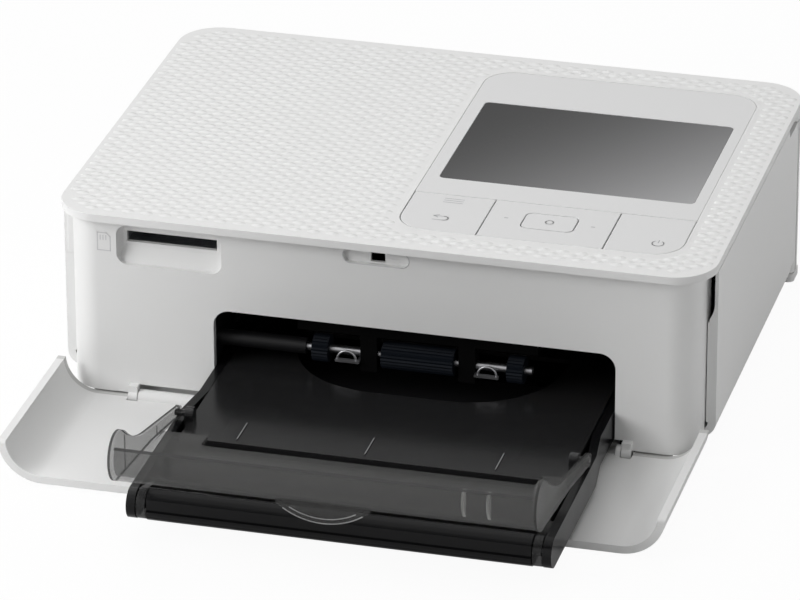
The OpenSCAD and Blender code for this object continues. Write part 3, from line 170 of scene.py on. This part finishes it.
# Print mechanism's frame. Two zinc-plated steel plates stand on the base, with a black plastic
# tunnel for the cassette, a guide behind it and the pick-up's bracket between them. The card
# socket and the USB port are folded from the same steel, and the power inlet is moulded.

zinc = Finish("zinc_plated_steel", (0.56, 0.57, 0.58), 0.32, metallic=1.0)
zinc.put(zinc.mixed((0.46, 0.47, 0.49), (0.62, 0.63, 0.64), zinc.noise(4, 4)), "Base Color")
zinc.put(zinc.noise(1.2, 4, (1, 12, 1)) * 0.2 + 0.24, "Roughness")
matt_black = moulded("matt_black_plastic", (0.004, 0.004, 0.0045), 0.55, grain=0.5, depth=0.02, spread=0.2)
matt_black.put(0.2, "Specular IOR Level")
shaded_black = moulded("shaded_black_plastic", (0.0012, 0.0012, 0.0013), 0.7)
shaded_black.put(0.05, "Specular IOR Level")

for node in ("left_chassis", "right_chassis", "card_socket", "usb_port"):
    paint(node, zinc)
for node in ("cassette_tunnel", "rear_paper_guide", "dc_inlet"):
    paint(node, matt_black)
paint("pickup_bracket", shaded_black)

# Drive. Two small can motors turn brass pinions, and natural white plastic gears carry the
# feed roller's motion forward to the pick-up shaft.

plated_can = Finish("plated_motor_can", (0.5, 0.51, 0.53), 0.3, metallic=1.0)
plated_can.put(plated_can.noise(0.8, 3, (20, 1, 1)) * 0.2 + 0.2, "Roughness")
brass = Finish("turned_brass", (0.7, 0.5, 0.2), 0.28, metallic=1.0)
brass.put(brass.noise(0.5, 2, (8, 1, 1)) * 0.15 + 0.2, "Roughness")
natural_plastic = moulded("natural_white_plastic", (0.72, 0.7, 0.6), 0.4, grain=0.6, depth=0.01)

paint("feed_motor", plated_can)
paint("ribbon_motor", plated_can)
paint("feed_pinion", brass)
paint("ribbon_pinion", brass)
for node in ("idler_gear_rear", "idler_gear_middle", "idler_gear_front", "pickup_gear", "take_up_drive",
             "supply_hub"):
    paint(node, natural_plastic)

# Rollers and pins. Ground steel shafts carry dark blue-grey rubber, fluted on the pick-up
# rollers and smooth on the platen; the pick-up shaft and the paper springs are duller steel.
# The pins and screws are turned from ground steel too.

ground_steel = Finish("ground_steel", (0.66, 0.67, 0.69), 0.2, metallic=1.0)
ground_steel.put(ground_steel.noise(0.3, 2, (1, 6, 6)) * 0.12 + 0.14, "Roughness")
roller_rubber = moulded("roller_rubber", (0.002, 0.0037, 0.007), 0.65, grain=0.5, depth=0.03, spread=0.3)
roller_rubber.put(0.12, "Specular IOR Level")
spring_steel = Finish("spring_steel", (0.3, 0.3, 0.31), 0.34, metallic=1.0)
spring_steel.put(spring_steel.noise(0.4, 2, (1, 5, 5)) * 0.12 + 0.28, "Roughness")

for node in ("feed_roller", "side_cover_pins", "inner_lid_pins", "case_screws"):
    paint(node, ground_steel)
for node in ("pickup_shaft", "paper_spring_left", "paper_spring_right"):
    paint(node, spring_steel)
for node in ("pickup_roller_middle", "pickup_roller_left", "pickup_roller_right", "platen_roller",
             "pinch_roller"):
    paint(node, roller_rubber)

# Print head and ribbon. The head is a finned aluminium block over the platen; the ribbon
# cartridge is a black carrier with two spools of dye-coated film.

cast_aluminium = Finish("cast_aluminium", (0.68, 0.69, 0.7), 0.42, metallic=1.0)
cast_aluminium.bumps(cast_aluminium.noise(0.4, 4), 0.03)
dye_film = Finish("dye_film", (0.5, 0.33, 0.05), 0.18)
dye_bands = dye_film.noise(14, 1, (0.01, 1, 1))
dye_film.put(dye_film.mixed((0.5, 0.33, 0.04), (0.35, 0.05, 0.09), dye_bands), "Base Color")
grey_plastic = moulded("grey_plastic", (0.11, 0.11, 0.12), 0.45, grain=0.5)

paint("print_head", cast_aluminium)
paint("ribbon_cartridge", matt_black)
paint("supply_spool", dye_film)
paint("ribbon_film", dye_film)
paint("take_up_spool", grey_plastic)

# Boards. Green laminate with darker copper tracks under the solder mask. The key board hangs
# from the top cover under the keys, and the main board stands on pillars at the left side.

laminate = Finish("circuit_board", (0.02, 0.12, 0.05), 0.35)
tracks = laminate.noise(2.2, 0, (1, 0.15, 1)) > 0.52
laminate.put(laminate.mixed((0.015, 0.1, 0.04), (0.05, 0.2, 0.09), tracks), "Base Color")

paint("key_board", laminate)
paint("main_board", laminate)

# Outer shells. White ABS with a satin grain; the front shell sits behind the top's rim and
# between the side panels, and every edge has a small mould radius. A white block fills the
# hollow at the left panel's front edge.

def body_of(node):
    """The moving body that a CAD node belongs to."""
    for body, members in record["behaviour"]["bodies"].items():
        if node in members:
            return body


SAME_POINT, FLAT = 2e-6, 0.5


def whole_faces(shape):
    """Joins loose triangles back into whole faces."""
    bmesh.ops.remove_doubles(shape, verts=shape.verts, dist=SAME_POINT)
    bmesh.ops.dissolve_limit(shape, angle_limit=math.radians(FLAT), verts=shape.verts, edges=shape.edges)


def faces_of(node):
    """A CAD node's mesh as a bmesh of whole faces."""
    shape = bmesh.new()
    shape.from_mesh(cad[node].data)
    whole_faces(shape)
    return shape


def mesh_of(name, shape):
    """A mesh from a bmesh, which is freed."""
    mesh = bpy.data.meshes.new(name)
    shape.to_mesh(mesh)
    shape.free()
    return mesh


def piece_from(name, shape, finish, body, smooth=40):
    """An object from a bmesh, smooth except at its sharp edges."""
    for face in shape.faces:
        face.smooth = True
    for edge in shape.edges:
        edge.smooth = edge.is_manifold and edge.calc_face_angle() < math.radians(smooth)
    mesh = mesh_of(name, shape)
    mesh.materials.append(finish.material)
    piece = bpy.data.objects.new(name, mesh)
    bpy.context.scene.collection.objects.link(piece)
    piece.modifiers.new("even_shading", "WEIGHTED_NORMAL").keep_sharp = True
    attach(piece, body)
    return piece


def round_off(shape, edges, radius, segments):
    """Rounds edges to a radius in millimetres."""
    bmesh.ops.bevel(shape, geom=edges, offset=radius * MM, offset_type="OFFSET", affect="EDGES",
                    segments=segments, profile=0.5, material=-1, clamp_overlap=True)


def soften(node, finish, radius, segments=2, angle=40, keep=None, first=None):
    """Stands for a CAD node, with the small radius that a mould leaves on its edges."""
    shape = faces_of(node)
    if first:
        first(shape)
    sharp = [edge for edge in shape.edges if edge.is_manifold
             and edge.calc_face_angle() > math.radians(angle) and (keep is None or keep(edge))]
    round_off(shape, sharp, radius, segments)
    piece = piece_from(node + "_finished", shape, finish, body_of(node))
    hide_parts(node)
    return piece


for node, radius in (("front_shell", 0.5), ("rear_panel", 0.4), ("left_side_panel", 0.5),
                     ("right_side_frame", 0.3), ("side_cover", 0.5)):
    soften(node, white_plastic, radius)

SCOOP_MIDDLE, SCOOP_SIZE, SCOOP_ROUND = Vector((-89.15, -5.6, 47.3)), (2.1, 8.4, 15.6), 0.4
scoop_back = bmesh.new()
scoop_spot = Matrix.Translation(SCOOP_MIDDLE * MM) @ Matrix.Diagonal((*SCOOP_SIZE, 1))
bmesh.ops.create_cube(scoop_back, size=MM, matrix=scoop_spot)
round_off(scoop_back, scoop_back.edges[:], SCOOP_ROUND, 2)
piece_from("left_scoop_back", scoop_back, white_plastic, "printer")

# Front cover. A white moulded trough that lies folded down on the desk; its wings are rounded
# at the front, and it turns on two short steel pins. A pale grey sill behind its rear edge reaches
# under the front shell; its grey is painted shade for the shadowed gap under the shell.

WING_ROUND, CLOSE, ON_PLANE = 4.5, 0.1 * MM, 1e-7
cover_low, cover_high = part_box("front_cover")


def at_wing_corner(corner):
    """Whether a point is at the upper front corner of a wing."""
    return corner.co.z > cover_high.z - CLOSE and corner.co.y < cover_low.y + CLOSE


def round_wings(shape):
    """Rounds the front corners of the cover's two upright wings."""
    round_off(shape, [edge for edge in shape.edges if all(map(at_wing_corner, edge.verts))], WING_ROUND, 6)


soften("front_cover", white_plastic, 0.7, segments=3, angle=25, first=round_wings)
paint("front_cover_pins", spring_steel)

SLICE_BACK, SLICE_FRONT, SILL_BACK = -28.1, -30, -18.05
COVER_SIDE, WING_FOOT, LUG_OUTER, BAR_START, BAR_END = 92, 81, 70.8, 58, 66


def cut(shape, place, normal, clear_outer=False):
    """Cuts a bmesh along a plane through a place, and may clear what lies beyond it."""
    bmesh.ops.bisect_plane(shape, geom=shape.verts[:] + shape.edges[:] + shape.faces[:], dist=ON_PLANE,
                           plane_co=place, plane_no=normal, clear_outer=clear_outer)


def sill(x0, x1, back):
    """A slice of the cover's own section, moved back to stand behind its rear edge."""
    strip = faces_of("front_cover")
    for place, outward in (((x0, 0, 0), (-1, 0, 0)), ((x1, 0, 0), (1, 0, 0)),
                           ((0, SLICE_FRONT, 0), (0, -1, 0)), ((0, SLICE_BACK, 0), (0, 1, 0))):
        cut(strip, Vector(place) * MM, outward, clear_outer=True)
        bmesh.ops.holes_fill(strip, edges=[edge for edge in strip.edges if edge.is_boundary])
    bmesh.ops.translate(strip, vec=(0, (back - SLICE_BACK) * MM, 0), verts=strip.verts)
    return mesh_of("sill", strip)


sills = bmesh.new()
for back, end in ((SILL_BACK, COVER_SIDE), (SILL_BACK + SLICE_BACK - SLICE_FRONT, WING_FOOT)):
    for x0, x1 in ((-end, -LUG_OUTER), (LUG_OUTER, end), (BAR_START, BAR_END)):
        sills.from_mesh(sill(x0, x1, back))
bmesh.ops.recalc_face_normals(sills, faces=sills.faces)
# The sill's grey is painted shade, standing for the shadow in the gap under the front shell.
sill_painted_shade = moulded("sill_painted_shade_plastic", (0.58, 0.58, 0.57), 0.5)
piece_from("front_cover_sill", sills, sill_painted_shade, "front_cover")

# Top cover. One white moulding with a plain rounded rim; its field is covered by rows of low
# lens-shaped pillows, each row shifted by half a pillow from the one before.

BORDER, RING, RING_FOOT = 1.3, 0.8, 1.8
PITCH_X, PITCH_Y, PILLOW_HIGH = 5.2, 4.3, 0.38
PILLOW_WIDE, PILLOW_DEEP, SPARE = 0.36, 0.27, 1.3
TOP_CORNER, PANEL_CORNER, FIELD_DROP = 12, 8.5, 0.4
RING_SPARE, RIM_REACH, RIM_ANGLE = 0.3, 0.2, math.degrees(1.2)
LEVEL, LIFT, SLIVER = 0.01 * MM, 0.01 * MM, 1e-10
top_low, top_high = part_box("top_cover")
panel_low, panel_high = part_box("control_panel")
menu_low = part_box("menu_key")[0]
panel_front = Vector((panel_low.x, menu_low.y, 0))
field_z = top_high.z - FIELD_DROP * MM


def from_core(x, y, low, high, radius):
    """The nearest point of a rounded rectangle's core, and the distance from it."""
    core_x = min(max(x, low.x + radius), high.x - radius)
    core_y = min(max(y, low.y + radius), high.y - radius)
    return core_x, core_y, math.hypot(x - core_x, y - core_y)


def in_top(x, y, margin):
    """Whether a point is inside the top's outline, by a margin in millimetres."""
    return from_core(x, y, top_low, top_high, TOP_CORNER * MM)[2] < (TOP_CORNER - margin) * MM


def in_panel(x, y, margin):
    """Whether a point is inside the panel's outline, by a margin in millimetres."""
    return from_core(x, y, panel_front, panel_high, PANEL_CORNER * MM)[2] < (PANEL_CORNER - margin) * MM


def trim(corner, low, high, radius, margin, outside):
    """Draws a point back to an outline, on the side where the pillows are."""
    core_x, core_y, away = from_core(corner.co.x, corner.co.y, low, high, radius * MM)
    limit = (radius - margin) * MM
    if (away > limit) != outside:
        corner.co.x = core_x + (corner.co.x - core_x) * limit / away
        corner.co.y = core_y + (corner.co.y - core_y) * limit / away
        corner.co.z = field_z


def lower_border(shape):
    """Brings the plain border down to the field, and slopes the ring round the panel."""
    for corner in shape.verts:
        at_ring = in_panel(corner.co.x, corner.co.y, -RING - RING_SPARE)
        if at_ring and abs(corner.co.z - field_z) < LEVEL:
            trim(corner, panel_front, panel_high, PANEL_CORNER, -RING_FOOT, outside=True)
        if not at_ring and corner.co.z > top_high.z - LEVEL:
            corner.co.z = field_z
    whole_faces(shape)


def at_outline(corner):
    """Whether a point is on the top's own outer edge."""
    return abs(corner.co.z - field_z) < LEVEL and not in_top(corner.co.x, corner.co.y, RIM_REACH)


soften("top_cover", white_plastic, BORDER, segments=4, angle=RIM_ANGLE, first=lower_border,
       keep=lambda edge: all(map(at_outline, edge.verts)))


def pillow():
    """One pillow: a square grid drawn round, swollen in the middle and stretched sideways."""
    shape = bmesh.new()
    bmesh.ops.create_grid(shape, x_segments=6, y_segments=6, size=1)
    for corner in shape.verts:
        x, y = corner.co.x, corner.co.y
        corner.co.x, corner.co.y = x * math.sqrt(1 - y * y / 2), y * math.sqrt(1 - x * x / 2)
        corner.co.z = math.cos(math.pi / 2 * math.hypot(corner.co.x, corner.co.y)) ** 2 * PILLOW_HIGH * MM
    bmesh.ops.scale(shape, vec=(PITCH_X * PILLOW_WIDE * MM, PITCH_Y * PILLOW_DEEP * MM, 1), verts=shape.verts)
    return mesh_of("pillow", shape)


field = bmesh.new()
one_pillow = pillow()
rows = int((top_high.y - top_low.y) / (PITCH_Y / 2 * MM))
columns = int((top_high.x - top_low.x) / (PITCH_X * MM))
for row in range(rows + 1):
    for column in range(columns + 1):
        x = top_low.x + (column + 0.5 * (row % 2)) * PITCH_X * MM
        y = top_low.y + row * PITCH_Y / 2 * MM
        if not in_top(x, y, BORDER + SPARE) or in_panel(x, y, -RING_FOOT - SPARE):
            continue
        spot = Matrix.Translation((x, y, field_z + LIFT))
        one_pillow.transform(spot)
        field.from_mesh(one_pillow)
        one_pillow.transform(spot.inverted())
for corner in field.verts:
    trim(corner, top_low, top_high, TOP_CORNER, BORDER, outside=False)
    trim(corner, panel_front, panel_high, PANEL_CORNER, -RING_FOOT, outside=True)
bmesh.ops.delete(field, geom=[face for face in field.faces if face.calc_area() < SLIVER], context="FACES")
piece_from("top_pillows", field, white_plastic, "printer", smooth=80)

# Control panel. Matt white plastic, split into four keys along its front; the marks are
# printed in pale grey. The window is a dark acrylic pane over the display's steel frame; its
# colour has a painted reflection that grows lighter towards its front right.

panel_white = moulded("panel_white", (0.73, 0.73, 0.73), 0.5, grain=0.25, depth=0.004, spread=0.01)
panel_white.put(0.3, "Specular IOR Level")
soften("control_panel", panel_white, 0.2)
for node in ("menu_key", "navigation_key", "ok_key", "power_key"):
    soften(node, panel_white, 0.45 if node == "ok_key" else 0.25)

dark_window = Finish("dark_window", (0.035, 0.035, 0.037), 0.12)
dark_window.put(0.15, "Specular IOR Level")
dark_window.put(dark_window.noise(30, 2) * 0.05 + 0.1, "Roughness")
window_low, window_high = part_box("display_window")
across = dark_window.node("ShaderNodeSeparateXYZ", {}, dark_window.place, output="X")
along = dark_window.node("ShaderNodeSeparateXYZ", {}, dark_window.place, output="Y")
# Painted reflection: the window's colour runs from near black to grey towards its front right corner.
REFLECTION_RIGHT, REFLECTION_FRONT = 0.66, 0.36
painted_reflection = ((across - window_low.x) * (REFLECTION_RIGHT / (window_high.x - window_low.x))
        + (window_high.y - along) * (REFLECTION_FRONT / (window_high.y - window_low.y)))
dark_window.put(dark_window.mixed((0.002, 0.002, 0.0022), (0.36, 0.36, 0.365), painted_reflection * painted_reflection), "Base Color")
soften("display_window", dark_window, 0.15)
paint("display_module", zinc)

grey_print = Finish("grey_print", (0.42, 0.42, 0.43), 0.5)
grey_print.put(grey_print.noise(0.3, 1) * 0.1 + 0.45, "Roughness")
PRINT = 0.02 * MM


def printed(name, node, strokes, width, finish=grey_print, front=None, height=None):
    """Printed marks, and lines of painted highlight and shade: each stroke is a row of points, drawn as a
    thin flat ribbon.

    They lie on the node's top or at a height, or stand upright on a face that looks forward.
    """
    shape = bmesh.new()
    for points in strokes:
        for (x0, y0), (x1, y1) in zip(points, points[1:]):
            length = math.hypot(x1 - x0, y1 - y0) + width
            turn = math.atan2(y1 - y0, x1 - x0)
            made = bmesh.ops.create_grid(shape, x_segments=1, y_segments=1, size=0.5)["verts"]
            bmesh.ops.scale(shape, vec=(length * MM, width * MM, 1), verts=made)
            bmesh.ops.rotate(shape, matrix=Matrix.Rotation(turn, 3, "Z"), verts=made)
            bmesh.ops.translate(shape, vec=((x0 + x1) / 2 * MM, (y0 + y1) / 2 * MM, 0), verts=made)
    if front is None:
        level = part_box(node)[1].z if height is None else height * MM
        bmesh.ops.translate(shape, vec=(0, 0, level + PRINT), verts=shape.verts)
    else:
        bmesh.ops.rotate(shape, matrix=Matrix.Rotation(math.radians(90), 3, "X"), verts=shape.verts)
        bmesh.ops.translate(shape, vec=(0, front * MM - PRINT, 0), verts=shape.verts)
    return piece_from(name, shape, finish, body_of(node))


def ring(x, y, radius, start, end, steps=18):
    """Points of an arc, its angles in degrees."""
    angles = [math.radians(start + (end - start) * step / steps) for step in range(steps + 1)]
    return [(x + radius * math.cos(a), y + radius * math.sin(a)) for a in angles]


power_x, power_y = 72.9, -2.3
printed("power_mark", "power_key",
        [ring(power_x, power_y, 1.6, 125, 415), [(power_x, power_y + 0.4), (power_x, power_y + 2)]], 0.3)
back_x, back_y, bend = 12.8, -1.0, 1.2
arrow_shaft = ([(back_x - 2, back_y - bend), (back_x + 0.8, back_y - bend)]
               + ring(back_x + 0.8, back_y, bend, -90, 90, 8) + [(back_x - 2, back_y + bend)])
arrow_head = [(back_x - 1, back_y + 2), (back_x - 2.2, back_y + bend), (back_x - 1, back_y + 0.4)]
printed("back_mark", "menu_key", [arrow_shaft, arrow_head], 0.35)
menu_x, menu_y = 13.5, 10.5
printed("list_mark", "menu_key",
        [[(menu_x - 2.6, menu_y + step), (menu_x + 2.6, menu_y + step)] for step in (-1.2, 0, 1.2)], 0.3)
ok_low, ok_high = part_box("ok_key")
ok_x, ok_y = (ok_low.x + ok_high.x) / 2 / MM, (ok_low.y + ok_high.y) / 2 / MM
printed("confirm_mark", "ok_key", [ring(ok_x, ok_y, 1.1, 0, 360)], 0.3)
dots = [ok_x + side * 12 for side in (-1, 1)]
printed("direction_marks", "navigation_key", [[(dot - 0.3, ok_y), (dot + 0.3, ok_y)] for dot in dots], 0.5)

# Marks on the front. A small generic card glyph is printed beside the slot, and the catch's
# seat has a fine grey line round it, which is painted shade for the seat's raised border.

FACE_Y = -18.3
pale_print_and_shade = Finish("pale_print_and_shade", (0.6, 0.6, 0.61), 0.5)
pale_print_and_shade.put(pale_print_and_shade.noise(0.3, 1) * 0.1 + 0.45, "Roughness")
card_x, card_z = -77.0, 48.0
card_outline = [(card_x - 1.8, card_z - 2.6), (card_x + 1.8, card_z - 2.6), (card_x + 1.8, card_z + 1.6),
                (card_x + 0.8, card_z + 2.6), (card_x - 1.8, card_z + 2.6), (card_x - 1.8, card_z - 2.6)]
contacts = [[(card_x + step, card_z + 0.6), (card_x + step, card_z + 1.8)] for step in (-1, -0.2, 0.6)]
printed("card_mark", "front_shell", [card_outline] + contacts, 0.3, finish=pale_print_and_shade, front=FACE_Y)
catch_left, catch_right, catch_z, catch_round = -7.8, 6.4, 51.9, 2.15
catch_ends = (ring(catch_left, catch_z, catch_round, 90, 270, 10)
              + ring(catch_right, catch_z, catch_round, -90, 90, 10))
catch_outline = catch_ends + [(catch_left, catch_z + catch_round)]
# The grey line round the catch's seat is painted shade along its raised border, in the same grey as the
# print.
printed("catch_shade_line", "front_shell", [catch_outline], 0.25, finish=pale_print_and_shade, front=FACE_Y)

# Paper cassette. A glossy black tray with a smoke inner lid, and a clearer smoke outer lid
# hinged to it, which catches the prints. Pale lines on the outer lid's ribs and along its thumb
# lip are painted highlights.

gloss_black = Finish("gloss_black_plastic", (0.004, 0.004, 0.0045), 0.2)
gloss_black.put(0.18, "Specular IOR Level")
gloss_black.put(gloss_black.noise(10, 3) * 0.1 + 0.17, "Roughness")
soften("cassette_base", gloss_black, 0.35)
paint("lift_plate", matt_black)


EDGE_BLEND = 0.35


def smoke(name, shade, clear, edge_on, rough):
    """Tinted clear plastic, denser where it is seen edge on."""
    finish = Finish(name, shade, rough)
    facing = finish.node("ShaderNodeLayerWeight", {}, EDGE_BLEND, output="Facing")
    finish.put(facing * (edge_on - clear) + clear, "Alpha")
    finish.put(finish.noise(8, 3) * 0.08 + rough, "Roughness")
    finish.put(0.3, "Specular IOR Level")
    finish.material.use_transparency_overlap = True
    return finish


inner_smoke = smoke("dark_smoke_plastic", (0.015, 0.015, 0.0155), 0.8, 0.9, 0.16)
outer_smoke = smoke("smoke_plastic", (0.071, 0.071, 0.0695), 0.33, 0.45, 0.08)
smoke_edge = smoke("smoke_plastic_edge", (0.04, 0.04, 0.04), 0.85, 0.95, 0.5)
smoke_edge.put(0.1, "Specular IOR Level")
# A pale smoke that draws painted highlights on the thumb lip, and the marks on the inner lid.
smoke_highlight_and_marks = smoke("smoke_plastic_highlight_and_marks", (0.4, 0.4, 0.4), 0.75, 0.9, 0.15)
# A near-white smoke for the rib faces, a painted highlight along the ribs' edges.
rib_edge_highlight = smoke("pale_smoke_rib_highlight", (0.85, 0.85, 0.84), 0.9, 0.95, 0.15)
soften("inner_lid", inner_smoke, 0.25)

PATH_X, NOSE_Y, NOSE_TOP, WALL, RIM = 9.5, -103.7, 34.0, 1.3, 0.7
RIB_HALF, RIB_FRONT, TOP_BAND, SIDEWAYS, UPWARDS = 0.6, NOSE_Y - 4, 0.3, 0.95, 0.5
rib_places = (PATH_X + 37.2, PATH_X + 43.8)
lid_low, lid_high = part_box("outer_lid")


def score_rims(shape):
    """Cuts the lid's faces just inside its two sides, where its edges look darker."""
    for side in (lid_low.x + RIM * MM, lid_high.x - RIM * MM):
        cut(shape, (side, 0, 0), (1, 0, 0))


outer_lid = soften("outer_lid", outer_smoke, 0.2, first=score_rims)
outer_lid.data.materials.append(smoke_edge.material)
outer_lid.data.materials.append(rib_edge_highlight.material)
for face in outer_lid.data.polygons:
    x, y, z = face.center / MM
    from_side = min(x - lid_low.x / MM, lid_high.x / MM - x)
    on_nose = from_side > WALL and abs(z - NOSE_TOP) < TOP_BAND and y < NOSE_Y
    if (on_nose and face.normal.z > UPWARDS) or (from_side < RIM and abs(face.normal.x) < SIDEWAYS):
        face.material_index = 1
    # Faces along the ribs take the near-white smoke, a painted highlight.
    if y < RIB_FRONT and any(abs(x - place) < RIB_HALF for place in rib_places):
        face.material_index = 2

# Two pale arcs on the front of the thumb lip are painted highlights along its rounded edge.
LIP_Y, LIP_Z, LIP_ROUND = NOSE_Y - 5.8, 38.3, 19
for name, radius, reach in (("lip_upper_highlight", LIP_ROUND - 0.2, 34), ("lip_lower_highlight", LIP_ROUND - 1.5, 30)):
    printed(name, "outer_lid", [ring(PATH_X, LIP_Z, radius, 270 - reach, 270 + reach, 16)], 0.3,
            finish=smoke_highlight_and_marks, front=LIP_Y)
INNER_TOP, MARK_FRONT, MARK_BACK = 14.8, -60, -50.5
printed("paper_marks", "inner_lid",
        [[(PATH_X + step, MARK_FRONT), (PATH_X + step, MARK_BACK)] for step in (-37.3, -2.2, 33.3)], 0.2,
        finish=smoke_highlight_and_marks, height=INNER_TOP)

# Studio. A white floor and background, a large soft lamp overhead, one at the left and one
# behind, two weaker ones at the right and the front, and the camera at the photograph's angle.

SKY_LIGHT, FLOOR_HALF, FLOOR_DROP, FLOOR_GLOW = 0.1, 6, 0.0002, 0.95
world = bpy.data.worlds.new("studio")
bpy.context.scene.world = world
world.use_nodes = True
sky = world.node_tree.nodes
back = sky["Background"]
seen = sky.new("ShaderNodeLightPath")
bright = sky.new("ShaderNodeBackground")
bright.inputs["Color"].default_value = (1, 1, 1, 1)
back.inputs["Color"].default_value = (1, 1, 1, 1)
back.inputs["Strength"].default_value = SKY_LIGHT
link = world.node_tree.links.new
shown = seen.outputs["Is Camera Ray"]
for kind in ("Is Transmission Ray", "Is Glossy Ray"):
    either = sky.new("ShaderNodeMath")
    either.operation = "MAXIMUM"
    link(shown, either.inputs[0])
    link(seen.outputs[kind], either.inputs[1])
    shown = either.outputs[0]
choice = sky.new("ShaderNodeMixShader")
link(shown, choice.inputs[0])
link(back.outputs[0], choice.inputs[1])
link(bright.outputs[0], choice.inputs[2])
link(choice.outputs[0], sky["World Output"].inputs["Surface"])

ground = bmesh.new()
bmesh.ops.create_grid(ground, x_segments=1, y_segments=1, size=FLOOR_HALF)
floor = bpy.data.objects.new("floor", mesh_of("floor", ground))
floor.location.z = -FLOOR_DROP
bpy.context.scene.collection.objects.link(floor)
floor_white = Finish("floor_white", (0.9, 0.9, 0.9), 0.6)
floor_white.put(0.2, "Specular IOR Level")
glow = floor_white.node("ShaderNodeEmission", {}, (1, 1, 1, 1), 1.0)
sight = floor_white.node("ShaderNodeLightPath", {}, output="Is Camera Ray")
plain = Value(floor_white, floor_white.shader.outputs[0])
lit = floor_white.node("ShaderNodeMixShader", {}, sight * FLOOR_GLOW, plain, glow)
floor_white.join(floor_white.tree.nodes["Material Output"].inputs["Surface"], lit)
floor.data.materials.append(floor_white.material)


def lamp(name, place, size, power, aim=(0, 0.025, 0.03)):
    """A square soft lamp aimed at the printer."""
    data = bpy.data.lights.new(name, "AREA")
    data.size = size
    data.energy = power
    light = bpy.data.objects.new(name, data)
    light.location = place
    light.rotation_euler = (Vector(aim) - Vector(place)).to_track_quat("-Z", "Y").to_euler()
    bpy.context.scene.collection.objects.link(light)


lamp("overhead_lamp", (0, 0.05, 1.6), 1.5, 9)
lamp("left_lamp", (-0.75, -0.5, 0.55), 0.7, 8)
lamp("back_lamp", (-0.5, 0.95, 1.3), 1.2, 4.5)
lamp("right_lamp", (1.2, 0.3, 0.6), 0.8, 2.2)
lamp("front_lamp", (0.9, -1.155, 0.8), 0.8, 1.4)

FOCAL, PICTURE_WIDE, SENSOR = 5974.1024, 800, 36
AZIMUTH, ELEVATION, ROLL = 14.91753875, 25.56405655, -0.19000544
TARGET, DISTANCE = Vector((-15.7545, 63.1597, 0)) * MM, 1695.2044 * MM
turn, rise = math.radians(AZIMUTH), math.radians(ELEVATION)
away = Vector((math.sin(turn) * math.cos(rise), -math.cos(turn) * math.cos(rise), math.sin(rise)))
camera = bpy.data.objects.new("camera", bpy.data.cameras.new("camera"))
camera.data.sensor_width = SENSOR
camera.data.lens = FOCAL / PICTURE_WIDE * SENSOR
camera.location = TARGET + away * DISTANCE
camera.rotation_mode = "QUATERNION"
roll = Matrix.Rotation(math.radians(ROLL), 3, "Z").to_quaternion()
camera.rotation_quaternion = (-away).to_track_quat("-Z", "Y") @ roll
camera.data.clip_start, camera.data.clip_end = 0.05, 30
bpy.context.scene.collection.objects.link(camera)
bpy.context.scene.camera = camera

bpy.context.scene.view_settings.view_transform = "Standard"
